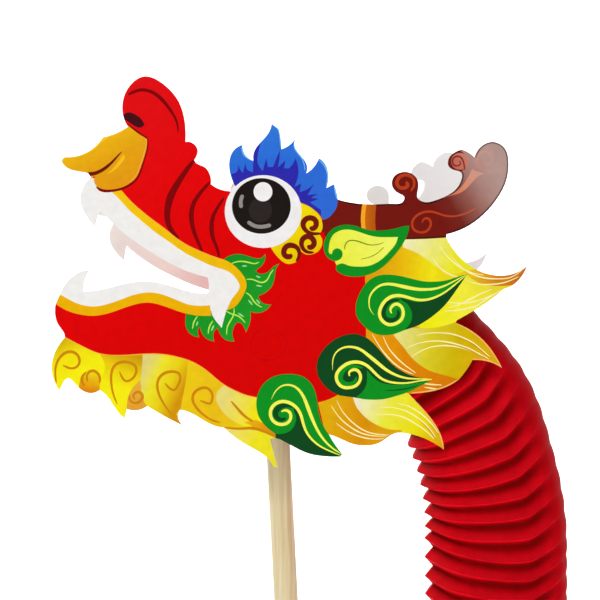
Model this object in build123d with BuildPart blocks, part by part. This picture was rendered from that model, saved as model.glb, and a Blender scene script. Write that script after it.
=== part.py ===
"""Hand-held paper dragon: two printed head cards on a stick, a pleated paper body and a tail.

The head is two flat die-cut cards, set apart by the width of the round body and joined by a
folded card bridge, which the end of the head stick is glued into. The body is an accordion-pleated paper tube,
modelled as a chain of short drums with a gap between each pair, so that the chain can bend and
stretch. It hangs down, turns up again and ends in two tail cards on a second stick.

Frame: millimetres, +Z up, the dragon looks along -X. The origin is the centre of the lower end
of the head stick. The body bends in the plane Y = 0.
"""

import os
from math import cos, radians, sin

from build123d import *

# ---- driving dimensions (mm, degrees) ----

STICK_DIAMETER = 13.0
STICK_SHOULDER = 0.5
SPIGOT_END = 4.0
HEAD_GRIP_LENGTH = 250.0
HEAD_STICK_LEAN = 3.0
TAIL_GRIP_LENGTH = 194.0
TAIL_STICK_X = 318.0

CARD = 0.8
BODY_RADIUS = 37.0
CARD_CLEARANCE = 0.7
RIGHT_CARD_SKEW = 6.5
SKEW_CENTRE = (11.0, 317.5)

BRIDGE_WIDTH = 28.0
HEAD_BRIDGE_HEIGHT = 46.0
TAIL_BRIDGE_HEIGHT = 34.0
BRIDGE_CORNER = 2.0

PAPER_WALL = 0.4
PLEAT_GAP = 6.0
END_DISC = 1.2
TAB_LENGTH = 14.0
TAB_WIDTH = 24.0

NECK_POINT = (43.8, 299.6)
NECK_HEADING = -35.0
NECK_BEND_RADIUS = 150.0
NECK_BEND_TURN = -55.0
DROP_LENGTH = 65.0
LOOP_RADIUS = 70.0
LOOP_TURN = 180.0
TAIL_BEND_RADIUS = 110.0
TAIL_BEND_TURN = -40.0

# ---- values worked out from them ----

STICK_RADIUS = STICK_DIAMETER / 2
SPIGOT_RADIUS = STICK_RADIUS - STICK_SHOULDER
CARD_INNER_Y = BODY_RADIUS + CARD_CLEARANCE
CARD_OUTER_Y = CARD_INNER_Y + CARD

# ---- outline of the head card, X and Z, clockwise from the nostril ----
# Each inner list is one smooth stretch. Two stretches meet in a corner.

SNOUT = [
    [(-86, 396.5), (-88.8, 405.5), (-86.3, 415.3), (-78, 421.7), (-67.5, 417.3),
     (-60.8, 409.5), (-57.6, 399), (-57.3, 389)],
    [(-57.3, 389), (-53.8, 388.5), (-51.3, 385.6), (-51.6, 382.4), (-52.9, 380.1)],
    [(-52.9, 380.1), (-51, 377.9), (-47.5, 376.3), (-45.3, 373.3), (-44.6, 368)],
    [(-44.6, 368), (-41, 365.7), (-35.3, 364.4)],
    [(-35.3, 364.4), (-32.7, 367.4)],
]
BROW = [
    [(-32.7, 367.4), (-35.3, 375.5), (-34.3, 383), (-28.9, 387.5)],
    [(-28.9, 387.5), (-27.5, 382.8), (-23.3, 379.6)],
    [(-23.3, 379.6), (-22, 386), (-17, 391.8), (-14.2, 398.2)],
    [(-14.2, 398.2), (-10.6, 395.5)],
    [(-10.6, 395.5), (-9.6, 390.5), (-9.3, 385.3)],
    [(-9.3, 385.3), (-6, 386.9), (-2.2, 390.7)],
    [(-2.2, 390.7), (-2.6, 386.7), (1, 381.5), (3, 373.2)],
    [(3, 373.2), (6.5, 376), (9.5, 380.9)],
    [(9.5, 380.9), (13.7, 375.3), (14.1, 370), (13.2, 366)],
    [(13.2, 366), (17, 367.9)],
    [(17, 367.9), (18.2, 364), (18.9, 360.2)],
]
ANTLER = [
    [(18.9, 360.2), (27, 358.4), (38, 357.8), (47, 358.1), (51.3, 359), (52.2, 361.2),
     (49, 363.6), (46.1, 367), (46.7, 371.3), (50.5, 373.8), (55.3, 373.4), (58.6, 370.2),
     (59, 365.5), (58.8, 361), (61.5, 359.1), (68, 359.9), (75.5, 363.3), (80.4, 369.3),
     (80.6, 373.6), (77.2, 374.9), (74.2, 377), (74.4, 380.8), (77, 383.6), (80.8, 385.2)],
    [(80.8, 385.2), (84.5, 383.5), (87.3, 381.2)],
    [(87.3, 381.2), (90.2, 386.4), (96.5, 389), (102, 386.2), (104.2, 378), (103, 369.5),
     (98, 360), (90, 351.2), (82, 345.9), (73.2, 342.9)],
    [(73.2, 342.9), (73.1, 341.2)],
]
MANE = [
    [(73.1, 341.2), (77, 334.8), (84, 327.8), (93, 323.2), (103, 322.3), (113.5, 326.9)],
    [(113.5, 326.9), (110, 320.8), (105.5, 316.9), (101.8, 315.5)],
    [(101.8, 315.5), (92, 307.9), (84, 303), (78.3, 299.8)],
    [(78.3, 299.8), (77.8, 298.6)],
    [(77.8, 298.6), (84, 295.7), (90, 291.4), (96, 284.6), (100.9, 276.2)],
    [(100.9, 276.2), (95, 279), (86.2, 280)],
    [(86.2, 280), (83.5, 275.5), (79, 269.9)],
    [(79, 269.9), (73, 266.5), (65, 264.2), (54.4, 263.1)],
    [(54.4, 263.1), (60, 257.3), (66.5, 249.5), (70.6, 242), (71.9, 235.2)],
    [(71.9, 235.2), (65, 239.6), (57, 242.6), (49, 243.7)],
    [(49, 243.7), (45, 242.2), (40, 238.8), (33, 237.3), (26, 238.2), (20, 240.8),
     (14.4, 242.8)],
]
LOW_LEAF = [
    [(14.4, 242.8), (17, 238.5), (21, 233)],
    [(21, 233), (20.2, 231.7)],
    [(20.2, 231.7), (12, 231.9), (4, 233.4), (-3, 236.6), (-10, 240.4)],
]
BEARD = [
    [(-10, 240.4), (-12.5, 240.9), (-15, 240.5)],
    [(-15, 240.5), (-13.4, 234.5), (-11.3, 226.4)],
    [(-11.3, 226.4), (-13.2, 226.6)],
    [(-13.2, 226.6), (-18, 232.5), (-26, 237.2), (-32.5, 241.4), (-38, 246.2)],
    [(-38, 246.2), (-47, 249.2), (-54, 253.3), (-60, 255.2)],
    [(-60, 255.2), (-61.1, 252.6), (-58.4, 247.2)],
    [(-58.4, 247.2), (-66, 251), (-76.3, 257)],
    [(-76.3, 257), (-81.5, 254.9), (-86.6, 255.6)],
    [(-86.6, 255.6), (-87.7, 250.9)],
    [(-87.7, 250.9), (-93, 257), (-97, 262.6), (-100.2, 265)],
    [(-100.2, 265), (-105, 263.5), (-110, 265.7), (-114.5, 270.4), (-120.3, 264.8)],
    [(-120.3, 264.8), (-123, 270), (-124.1, 277), (-122, 284.8), (-117.5, 291.2)],
]
CHIN = [
    [(-117.5, 291.2), (-118, 293.6), (-120.9, 297.8), (-122.4, 303), (-122.1, 308)],
    [(-122.1, 308), (-120, 312.8)],
]
MOUTH = [
    [(-120, 312.8), (-118.5, 316), (-113, 322.3), (-105.3, 325)],
    [(-105.3, 325), (-108, 319.8), (-108.6, 314.3)],
    [(-108.6, 314.3), (-96, 315.9), (-84, 318.8), (-75, 319.2), (-64, 316.8), (-55, 314.1),
     (-46, 313.4)],
    [(-46, 313.4), (-45.6, 318), (-46.2, 321.3)],
    [(-46.2, 321.3), (-56, 324.2), (-66, 328.9), (-76, 334.9), (-86, 341.8), (-94, 348.7),
     (-100.2, 355.3)],
    [(-100.2, 355.3), (-101.5, 351.5), (-102.6, 346.6)],
    [(-102.6, 346.6), (-107.3, 352.8), (-109.8, 359.5), (-108.5, 366), (-104.5, 371.3)],
    [(-104.5, 371.3), (-105.9, 373.4)],
]
WHISKER = [
    [(-105.9, 373.4), (-112, 374.5), (-117.6, 377), (-119, 379.6), (-117.3, 381.4)],
    [(-117.3, 381.4), (-111, 382), (-104.5, 385), (-98.5, 391.2)],
    [(-98.5, 391.2), (-94, 392.5), (-86, 396.5)],
]
HEAD_OUTLINE = SNOUT + BROW + ANTLER + MANE + LOW_LEAF + BEARD + CHIN + MOUTH + WHISKER

# ---- outline of the tail card, along the body's end and across it ----

TAIL_OUTLINE = [
    [(-28, -31), (-33, 0), (-28, 31)],
    [(-28, 31), (0, 39), (22, 45), (40, 58)],
    [(40, 58), (38, 46), (31, 36)],
    [(31, 36), (50, 37), (68, 41), (84, 50)],
    [(84, 50), (78, 38), (67, 28)],
    [(67, 28), (84, 25), (101, 27), (118, 32)],
    [(118, 32), (109, 21), (100, 14)],
    [(100, 14), (118, 11), (136, 5), (152, -4)],
    [(152, -4), (136, -13), (119, -16), (102, -14)],
    [(102, -14), (112, -25), (116, -38)],
    [(116, -38), (100, -33), (84, -29), (68, -27)],
    [(68, -27), (77, -39), (80, -54)],
    [(80, -54), (64, -46), (49, -40), (34, -37)],
    [(34, -37), (39, -48), (36, -60)],
    [(36, -60), (18, -50), (-4, -41), (-28, -31)],
]


# ---- the body's centre line ----

def turned(point, heading, radius, turn, length):
    """The point and heading after a bend of this radius and turn, or a straight length."""
    along = radians(heading)
    if radius is None:
        end = (point[0] + length * cos(along), point[1] + length * sin(along))
        return end, heading, None
    side = 1 if turn > 0 else -1
    centre = (point[0] - side * radius * sin(along), point[1] + side * radius * cos(along))
    after = radians(heading + turn)
    end = (centre[0] + side * radius * sin(after), centre[1] - side * radius * cos(after))
    return end, heading + turn, centre


def body_drums():
    """The drums from neck to tail: start point, heading, turn, length, bend centre, end."""
    bends = [
        (NECK_BEND_RADIUS, NECK_BEND_TURN, 0, 4),
        (None, 0, DROP_LENGTH, 2),
        (LOOP_RADIUS, LOOP_TURN, 0, 7),
        (TAIL_BEND_RADIUS, TAIL_BEND_TURN, 0, 2),
    ]
    drums = []
    point, heading = NECK_POINT, NECK_HEADING
    for radius, turn, length, count in bends:
        for _ in range(count):
            end, end_heading, centre = turned(point, heading, radius, turn / count, length / count)
            drums.append((point, heading, turn / count, length / count, centre, end))
            point, heading = end, end_heading
    return drums, point, heading


def across(point, heading):
    """The plane across the body at a point: its normal runs along the body, its Y axis is Y."""
    along = radians(heading)
    return Plane(origin=(point[0], 0, point[1]), x_dir=(sin(along), 0, -cos(along)),
                 z_dir=(cos(along), 0, sin(along)))


def solid_drum(drum, radius, start_cut, end_cut):
    """A closed length of the body of this radius, cut back at each end by flat slices."""
    point, heading, turn, length, centre, end = drum
    first, last = across(point, heading), across(end, heading + turn)
    with BuildPart() as body:
        with BuildSketch(first):
            Circle(radius)
        if centre is None:
            extrude(amount=length)
        else:
            pivot = Axis((centre[0], 0, centre[1]), (0, -1 if turn > 0 else 1, 0))
            revolve(axis=pivot, revolution_arc=abs(turn))
        if start_cut > 0:
            split(bisect_by=first.offset(start_cut), keep=Keep.TOP)
        if end_cut > 0:
            split(bisect_by=last.offset(-end_cut), keep=Keep.BOTTOM)
    return body.part


def plate(name, plane, stretches):
    """A flat card: a spline for each stretch of its outline, and a line for two points."""
    with BuildPart() as card:
        with BuildSketch(plane):
            with BuildLine():
                for stretch in stretches:
                    if len(stretch) == 2:
                        Line(*stretch)
                    else:
                        Spline(*stretch)
            make_face()
        extrude(amount=CARD)
    card.part.label = name
    export_step(card.part, f"parts/{name}.step")


def stick(name, foot, grip, bridge_height):
    """A round wooden stick: the part in the hand, then a spigot that is glued in its bridge."""
    with BuildPart() as rod:
        with BuildSketch(foot):
            Circle(STICK_RADIUS)
        extrude(amount=grip)
        with BuildSketch(foot.offset(grip)):
            Circle(SPIGOT_RADIUS)
        extrude(amount=bridge_height + SPIGOT_END)
    rod.part.label = name
    export_step(rod.part, f"parts/{name}.step")


def bridge(name, foot, grip, height):
    """A folded card sleeve from card to card that stands on the stick's shoulder."""
    floor = foot.offset(grip)
    middle = Plane(origin=floor.offset(height / 2).origin, x_dir=floor.x_dir, z_dir=(0, -1, 0))
    with BuildPart() as sleeve:
        with BuildSketch(middle):
            RectangleRounded(BRIDGE_WIDTH, height, BRIDGE_CORNER)
            RectangleRounded(BRIDGE_WIDTH - 2 * CARD, height - 2 * CARD, BRIDGE_CORNER - CARD,
                             mode=Mode.SUBTRACT)
        extrude(amount=CARD_INNER_Y, both=True)
        with BuildSketch(floor):
            Circle(SPIGOT_RADIUS)
        extrude(amount=height, mode=Mode.SUBTRACT)
    sleeve.part.label = name
    export_step(sleeve.part, f"parts/{name}.step")


def end_disc(name, plane):
    """A card disc that closes the body, with a glued tab against the inside of each card."""
    with BuildPart() as disc:
        with BuildSketch(plane):
            Circle(BODY_RADIUS)
        extrude(amount=END_DISC)
        with BuildSketch(plane):
            for side in (-1, 1):
                with Locations((0, side * (CARD_INNER_Y - CARD / 2))):
                    Rectangle(TAB_WIDTH, CARD)
        extrude(amount=TAB_LENGTH)
    disc.part.label = name
    export_step(disc.part, f"parts/{name}.step")


def skewed_card_plane():
    """The plane of the right head card, turned in its own plane about the skew centre."""
    turn = radians(RIGHT_CARD_SKEW)
    px, pz = SKEW_CENTRE
    origin_x = px - px * cos(turn) + pz * sin(turn)
    origin_z = pz - px * sin(turn) - pz * cos(turn)
    return Plane(origin=(origin_x, CARD_OUTER_Y, origin_z), x_dir=(cos(turn), 0, sin(turn)),
                 z_dir=(0, -1, 0))


os.makedirs("parts", exist_ok=True)

# ---- head ----

lean = radians(HEAD_STICK_LEAN)
head_foot = Plane(origin=(0, 0, 0), x_dir=(cos(lean), 0, sin(lean)),
                  z_dir=(-sin(lean), 0, cos(lean)))
stick("head_stick", head_foot, HEAD_GRIP_LENGTH, HEAD_BRIDGE_HEIGHT)
bridge("head_bridge", head_foot, HEAD_GRIP_LENGTH, HEAD_BRIDGE_HEIGHT)
plate("left_head_card", Plane.XZ.offset(CARD_INNER_Y), HEAD_OUTLINE)
plate("right_head_card", skewed_card_plane(), HEAD_OUTLINE)

# ---- pleated body ----

drums, tail_point, tail_heading = body_drums()
for number, drum in enumerate(drums, start=1):
    start_cut = 0 if number == 1 else PLEAT_GAP / 2
    end_cut = 0 if number == len(drums) else PLEAT_GAP / 2
    skin = solid_drum(drum, BODY_RADIUS, start_cut, end_cut)
    hollow = solid_drum(drum, BODY_RADIUS - PAPER_WALL, start_cut + PAPER_WALL,
                        end_cut + PAPER_WALL)
    with BuildPart() as section:
        add(skin)
        add(hollow, mode=Mode.SUBTRACT)
    section.part.label = f"bellows_{number:02d}"
    export_step(section.part, f"parts/bellows_{number:02d}.step")

neck_plane = across(NECK_POINT, NECK_HEADING + 180)
end_disc("neck_disc", neck_plane)

# ---- tail ----

tail_plane = across(tail_point, tail_heading)
end_disc("tail_disc", tail_plane)
tail_foot = Plane(origin=(TAIL_STICK_X, 0, 0), x_dir=(1, 0, 0), z_dir=(0, 0, 1))
stick("tail_stick", tail_foot, TAIL_GRIP_LENGTH, TAIL_BRIDGE_HEIGHT)
bridge("tail_bridge", tail_foot, TAIL_GRIP_LENGTH, TAIL_BRIDGE_HEIGHT)
tail_along = radians(tail_heading)
for name, outer_y in (("left_tail_card", -CARD_INNER_Y), ("right_tail_card", CARD_OUTER_Y)):
    tail_card = Plane(origin=(tail_point[0], outer_y, tail_point[1]),
                      x_dir=(cos(tail_along), 0, sin(tail_along)), z_dir=(0, -1, 0))
    plate(name, tail_card, TAIL_OUTLINE)
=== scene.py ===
"""Looks of the hand-held paper dragon: printed cards, pleated paper body and wooden sticks.

Print shapes are in millimetres on the card, X along the head and Z up. Everything that goes
into a mesh is in metres.
"""

from math import cos, pi, radians, sin

import bpy
import numpy as np
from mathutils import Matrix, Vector
from mathutils.geometry import delaunay_2d_cdt


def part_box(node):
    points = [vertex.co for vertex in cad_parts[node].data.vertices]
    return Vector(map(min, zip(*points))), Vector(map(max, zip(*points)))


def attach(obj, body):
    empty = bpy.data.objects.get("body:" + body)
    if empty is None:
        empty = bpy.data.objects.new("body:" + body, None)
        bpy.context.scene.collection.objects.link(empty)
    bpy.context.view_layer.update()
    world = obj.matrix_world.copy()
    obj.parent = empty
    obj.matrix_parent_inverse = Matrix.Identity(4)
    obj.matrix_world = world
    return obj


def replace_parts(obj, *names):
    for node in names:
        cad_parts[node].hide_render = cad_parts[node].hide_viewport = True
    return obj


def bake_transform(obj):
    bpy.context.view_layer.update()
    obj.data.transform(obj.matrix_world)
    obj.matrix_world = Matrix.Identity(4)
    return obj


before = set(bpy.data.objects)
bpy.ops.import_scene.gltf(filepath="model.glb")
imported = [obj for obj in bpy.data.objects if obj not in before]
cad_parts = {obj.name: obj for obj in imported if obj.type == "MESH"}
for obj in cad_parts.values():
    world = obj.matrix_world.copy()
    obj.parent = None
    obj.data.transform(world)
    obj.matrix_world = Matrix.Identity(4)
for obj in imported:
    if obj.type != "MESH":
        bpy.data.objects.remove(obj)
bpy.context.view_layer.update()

MM = 0.001
HEAD_SKEW = 6.5
SKEW_CENTRE = np.array([11.0, 317.5])
FILM_GAP = 0.01
FILM = 0.05
UV_SPAN = 100.0
CURVE_STEP = 0.8
STROKE_STEP = 0.7

BODY_RADIUS = 37.0
NECK_POINT = (43.8, 299.6)
NECK_HEADING = -35.0
BENDS = [(36.0, -13.75, 4), (32.5, 0.0, 2), (31.416, 25.714, 7), (38.397, -20.0, 2)]
TAIL_HEADING = 50.0
TAIL_POINT = np.array([273.5, 182.4])
PLEAT_COUNT = 50
ROWS_PER_PLEAT = 14
ROUND_COLUMNS = 128
PAPER = 0.3
OUTER_DEPTH = 0.5
FRONT_DEPTH = 3.3
INNER_DEPTH = 4.6
VALLEY_LEAN = 0.12
CREST_LIFT = 6.5
LIFT_FADE = 2.0
DEPTH_VARIES = 0.08
CREST_WANDER = 0.35
CORNER_CUT = 0.05
CORNER_TIPS = (-0.065, 0.07, 0.06, 0.02)
CORNER_ANGLE = 0.25
CORNER_TRAVEL = (60.0, 138.0, 175.0, 200.0)
NECK_BULGE = 2.4
BULGE_TRAVEL = 72.0
BULGE_HALF = 38.0

# Spans of the way round the tube, 0 on the outer side of the bend and 1 on the inner side.
LEAN_FADES = (0.62, 0.97)
POWER_FADES = (0.6, 0.95)
LIFT_FADES = (0.08, 0.40)
FOLDS_START = (0.10, 0.30)
DEPTH_GROWS = (0.7, 1.0)
BULGE_FADES = (0.0, 0.6)

FOLD_POWER = 1.7
POWER_DROP = 0.6
WAVE_POWER = 1.4
WAVES_ROUND = 7
WAVE_FALL = 0.8
WOBBLE_SEED = 7
CREASE_ANGLE = 34.0

# Painted shadow: shares from 0 for the bright paper to 1 for the darkest.
LIT_FLANK = (0.35, 1.0)
LIT_FLANK_EASE = 0.55
OUTER_SHADOW = 0.5
NECK_SHADOW = 0.5
NECK_SHADOW_TRAVEL = (15, 60)

STICK_LEAN = 3.0
STICK_SHADOW_Z = (0.198, 0.234)
STICK_SHADOW_TONE = 0.62


# ---------- curves ----------

def smooth(points, step=CURVE_STEP):
    """Points along a natural cubic spline, with the chord length between points as parameter."""
    p = np.array(points, float)
    if len(p) == 2:
        return p
    gap = np.linalg.norm(np.diff(p, axis=0), axis=1)
    t = np.concatenate([[0], np.cumsum(gap)])
    inner = np.arange(1, len(p) - 1)
    system = np.eye(len(p))
    system[inner, inner - 1] = gap[:-1]
    system[inner, inner] = 2 * (gap[:-1] + gap[1:])
    system[inner, inner + 1] = gap[1:]
    slope = np.diff(p, axis=0) / gap[:, None]
    right = np.zeros_like(p)
    right[1:-1] = 6 * np.diff(slope, axis=0)
    bend = np.linalg.solve(system, right)
    s = np.linspace(0, t[-1], int(np.ceil(t[-1] / step)) + 1)
    k = np.clip(np.searchsorted(t, s, side="right") - 1, 0, len(p) - 2)
    b = ((s - t[k]) / gap[k])[:, None]
    a = 1 - b
    cubic = (a ** 3 - a) * bend[k] + (b ** 3 - b) * bend[k + 1]
    return a * p[k] + b * p[k + 1] + cubic * (gap[k] ** 2)[:, None] / 6


def anticlockwise(loop):
    """The loop, turned round if its signed area is negative."""
    x, z = loop[:, 0], loop[:, 1]
    area = np.sum(x * np.roll(z, -1) - z * np.roll(x, -1))
    return loop if area > 0 else loop[::-1]


def patch(*runs):
    """One closed shape. Each run is smooth and starts where the run before it ended."""
    last = runs[-1][-1]
    parts = []
    for run in runs:
        parts.append(smooth([last] + list(run))[:-1])
        last = run[-1]
    return [anticlockwise(np.concatenate(parts))]


def disc(centre, across, up):
    """An ellipse: centre plus (across cos t, up sin t)."""
    t = np.linspace(0, 2 * pi, 48, endpoint=False)
    return [np.stack([centre[0] + across * np.cos(t), centre[1] + up * np.sin(t)], 1)]


def stroke(points, start, middle, end):
    """A brush line: four-sided pieces along a smooth line, its width start, middle, end."""
    line = smooth(points, STROKE_STEP)
    if len(line) == 2:
        line = np.linspace(line[0], line[1], 6)
    along = np.gradient(line, axis=0)
    along /= np.linalg.norm(along, axis=1)[:, None]
    side = np.stack([-along[:, 1], along[:, 0]], 1)
    t = np.linspace(0, 1, len(line))
    width = np.interp(t, [0, 0.5, 1], [start, middle, end])
    width = width * np.sqrt(np.clip(np.minimum(t, 1 - t) * 16 + 0.15, 0, 1))
    left = line + side * width[:, None] / 2
    right = line - side * width[:, None] / 2
    quads = np.stack([right[:-1], right[1:], left[1:], left[:-1]], 1)
    return [anticlockwise(quad) for quad in quads]


# ---------- materials ----------

def linear(red, green, blue):
    """A colour from 0-255 display values to linear light."""
    c = np.array([red, green, blue]) / 255
    value = np.where(c <= 0.04045, c / 12.92, ((c + 0.055) / 1.055) ** 2.4)
    return (*value, 1.0)


class Recipe:
    """A new material and short calls to add its nodes and join them."""

    def __init__(self, name):
        self.material = bpy.data.materials.new(name)
        self.material.use_nodes = True
        self.tree = self.material.node_tree
        self.shader = self.tree.nodes["Principled BSDF"]

    def node(self, kind, *inputs, **settings):
        made = self.tree.nodes.new(kind)
        for key, value in settings.items():
            setattr(made, key, value)
        for socket, value in inputs:
            self.put(made.inputs[socket], value)
        return made

    def put(self, socket, value):
        if isinstance(value, bpy.types.NodeSocket):
            self.tree.links.new(value, socket)
        else:
            socket.default_value = value

    def ramp(self, factor, stops):
        made = self.node("ShaderNodeValToRGB", ("Fac", factor))
        elements = made.color_ramp.elements
        while len(elements) < len(stops):
            elements.new(0.5)
        for element, (place, colour) in zip(elements, stops):
            element.position = place
        for element, (place, colour) in zip(elements, stops):
            element.color = linear(*colour)
        return made.outputs["Color"]

    def noise(self, vector, scale, detail=2.0):
        made = self.node("ShaderNodeTexNoise", ("Vector", vector), ("Scale", scale),
                         ("Detail", detail))
        return made.outputs["Fac"]

    def spread(self, value, low, high):
        """The middle of a noise, 0.3 to 0.7, spread from low to high."""
        made = self.node("ShaderNodeMapRange", ("Value", value), ("From Min", 0.3),
                         ("From Max", 0.7), ("To Min", low), ("To Max", high))
        return made.outputs["Result"]

    def tint(self, colour, strength):
        """The colour with its brightness multiplied by strength."""
        made = self.node("ShaderNodeVectorMath", (0, colour), operation="SCALE")
        self.put(made.inputs["Scale"], strength)
        return made.outputs["Vector"]

    def bump(self, height, depth, strength=1.0):
        made = self.node("ShaderNodeBump", ("Height", height), ("Distance", depth),
                         ("Strength", strength))
        self.put(self.shader.inputs["Normal"], made.outputs["Normal"])

    def shade(self, **values):
        names = {"colour": "Base Color", "roughness": "Roughness",
                 "gloss": "Specular IOR Level", "sheen": "Sheen Weight",
                 "sheen_roughness": "Sheen Roughness"}
        for key, value in values.items():
            self.put(self.shader.inputs[names[key]], value)
        return self.material


INKS = {}


def ink(name, stops, start=(0, 0), end=(1, 0)):
    """Print on coated card: a blend of colours from start to end, with a faint mottle."""
    recipe = Recipe("ink_" + name)
    place = recipe.node("ShaderNodeUVMap", uv_map="print").outputs["UV"]
    if len(stops) == 1:
        colour = recipe.ramp(recipe.noise(place, 9.0), [(0.3, stops[0]), (0.7, stops[0])])
    else:
        a = np.array(start) / UV_SPAN
        d = np.array(end) / UV_SPAN - a
        d = d / (d @ d)
        shifted = recipe.node("ShaderNodeVectorMath", (0, place), (1, (*a, 0)),
                              operation="SUBTRACT").outputs["Vector"]
        along = recipe.node("ShaderNodeVectorMath", (0, shifted), (1, (*d, 0)),
                            operation="DOT_PRODUCT").outputs["Value"]
        spaced = [(i / (len(stops) - 1), c) for i, c in enumerate(stops)]
        colour = recipe.ramp(along, spaced)
    mottle = recipe.spread(recipe.noise(place, 22.0, 4.0), 0.96, 1.04)
    fibre = recipe.noise(place, 260.0)
    recipe.bump(fibre, 0.00002, 0.35)
    recipe.shade(colour=recipe.tint(colour, mottle), gloss=0.03,
                 roughness=recipe.spread(recipe.noise(place, 60.0), 0.42, 0.55))
    INKS[name] = recipe.material
    return name


def plain_card(name, shades, corner=None, reach=1.0):
    """Unprinted card with faint fibres. With a corner, its shades go from there outwards."""
    recipe = Recipe(name)
    place = recipe.node("ShaderNodeTexCoord").outputs["Object"]
    if corner:
        gap = recipe.node("ShaderNodeVectorMath", (0, place), (1, corner),
                          operation="DISTANCE").outputs["Value"]
        along = recipe.node("ShaderNodeMapRange", ("Value", gap),
                            ("From Max", reach)).outputs["Result"]
    else:
        along = recipe.noise(place, 300.0, 5.0)
    base = recipe.ramp(along, [(i / (len(shades) - 1), c) for i, c in enumerate(shades)])
    strength = recipe.spread(recipe.noise(place, 320.0, 5.0), 0.985, 1.015)
    recipe.bump(recipe.noise(place, 2600.0), 0.00004, 0.5)
    return recipe.shade(colour=recipe.tint(base, strength), roughness=0.72, gloss=0.1)


def stick_wood():
    """Light softwood with long streaks along the stick. Its colour darkens towards the top to
    stand for the shadow under the head cards."""
    recipe = Recipe("stick_wood")
    place = recipe.node("ShaderNodeTexCoord").outputs["Object"]
    drawn = recipe.node("ShaderNodeMapping", ("Vector", place), ("Scale", (1, 1, 0.03)),
                        ("Rotation", (0, radians(STICK_LEAN), 0))).outputs["Vector"]
    streak = recipe.noise(drawn, 420.0, 6.0)
    band = recipe.noise(drawn, 130.0, 3.0)
    colour = recipe.ramp(streak, [(0.25, (204, 178, 128)), (0.45, (224, 206, 162)),
                                  (0.75, (240, 228, 192))])
    strength = recipe.spread(band, 0.92, 1.04)
    height = recipe.node("ShaderNodeSeparateXYZ", ("Vector", place)).outputs["Z"]
    under_card = recipe.node("ShaderNodeMapRange", ("Value", height),
                             ("From Min", STICK_SHADOW_Z[0]), ("From Max", STICK_SHADOW_Z[1]),
                             ("To Min", 1.0), ("To Max", STICK_SHADOW_TONE)).outputs["Result"]
    colour = recipe.tint(recipe.tint(colour, strength), under_card)
    recipe.bump(streak, 0.0003, 0.35)
    return recipe.shade(colour=colour, gloss=0.2,
                        roughness=recipe.spread(band, 0.5, 0.68))


def pleated_paper():
    """Thin dyed red paper with fibres. The darker colours follow the fold attribute and are
    painted shadow in the folds, on the outer side and near the head, and the slightly lighter
    red at small values is a painted highlight beside the crests. They aren't another dye."""
    recipe = Recipe("pleated_paper")
    place = recipe.node("ShaderNodeTexCoord").outputs["Object"]
    fold = recipe.node("ShaderNodeAttribute", attribute_name="fold").outputs["Fac"]
    wear = recipe.noise(place, 160.0, 4.0)
    colour = recipe.ramp(fold, [(0.0, (214, 10, 26)), (0.06, (224, 12, 30)), (0.3, (214, 6, 24)),
                                (0.75, (150, 0, 6)), (1.0, (118, 0, 0))])
    strength = recipe.spread(wear, 0.9, 1.1)
    recipe.bump(recipe.noise(place, 900.0, 4.0), 0.0002, 0.4)
    return recipe.shade(colour=recipe.tint(colour, strength), gloss=0.02,
                        roughness=recipe.spread(wear, 0.5, 0.64))


# ---------- mesh building ----------

def new_piece(name, vertices, faces, materials, body=None):
    """A mesh object at the origin, with its place in its vertices, in metres."""
    mesh = bpy.data.meshes.new(name)
    mesh.from_pydata(vertices, [], faces)
    for material in materials:
        mesh.materials.append(material)
    mesh.update()
    piece = bpy.data.objects.new(name, mesh)
    bpy.context.scene.collection.objects.link(piece)
    if body:
        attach(piece, body)
    return piece


def card_outline(node, outer_y):
    """The edge of a card's outer face as an ordered loop in millimetres, from its CAD mesh."""
    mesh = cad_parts[node].data
    mesh.calc_loop_triangles()
    co = np.array([v.co for v in mesh.vertices]) / MM
    tris = np.array([t.vertices for t in mesh.loop_triangles])
    face = np.all(np.abs(co[tris][:, :, 1] - outer_y) < 0.01, axis=1)
    corner = [[tuple(np.round(co[v][[0, 2]], 3)) for v in tri] for tri in tris[face]]
    edges = {(tri[i], tri[(i + 1) % 3]) for tri in corner for i in range(3)}
    following = {a: b for a, b in edges if (b, a) not in edges}
    start = next(iter(sorted(following)))
    loop = [start]
    while following[loop[-1]] != start:
        loop.append(following[loop[-1]])
    return anticlockwise(np.array(loop))


def arrange(outline, layers):
    """Cuts the card into triangles along every print edge. A triangle takes the last layer
    laid over it. Returns the points, the triangles and the layer number of each triangle."""
    loops, owner = [outline], [-1]
    for number, (_, _, shapes) in enumerate(layers):
        loops += shapes
        owner += [number] * len(shapes)
    flat = [Vector(p) for loop in loops for p in loop]
    ends = np.cumsum([0] + [len(loop) for loop in loops])
    faces = [list(range(a, b)) for a, b in zip(ends[:-1], ends[1:])]
    points, _, tris, _, _, sources = delaunay_2d_cdt(flat, [], faces, 0, 1e-4)
    kept = [i for i, s in enumerate(sources) if 0 in s]
    top = np.array([max(owner[f] for f in sources[i]) for i in kept])
    return np.array([p[:] for p in points]), np.array([tris[i] for i in kept]), top


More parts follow.
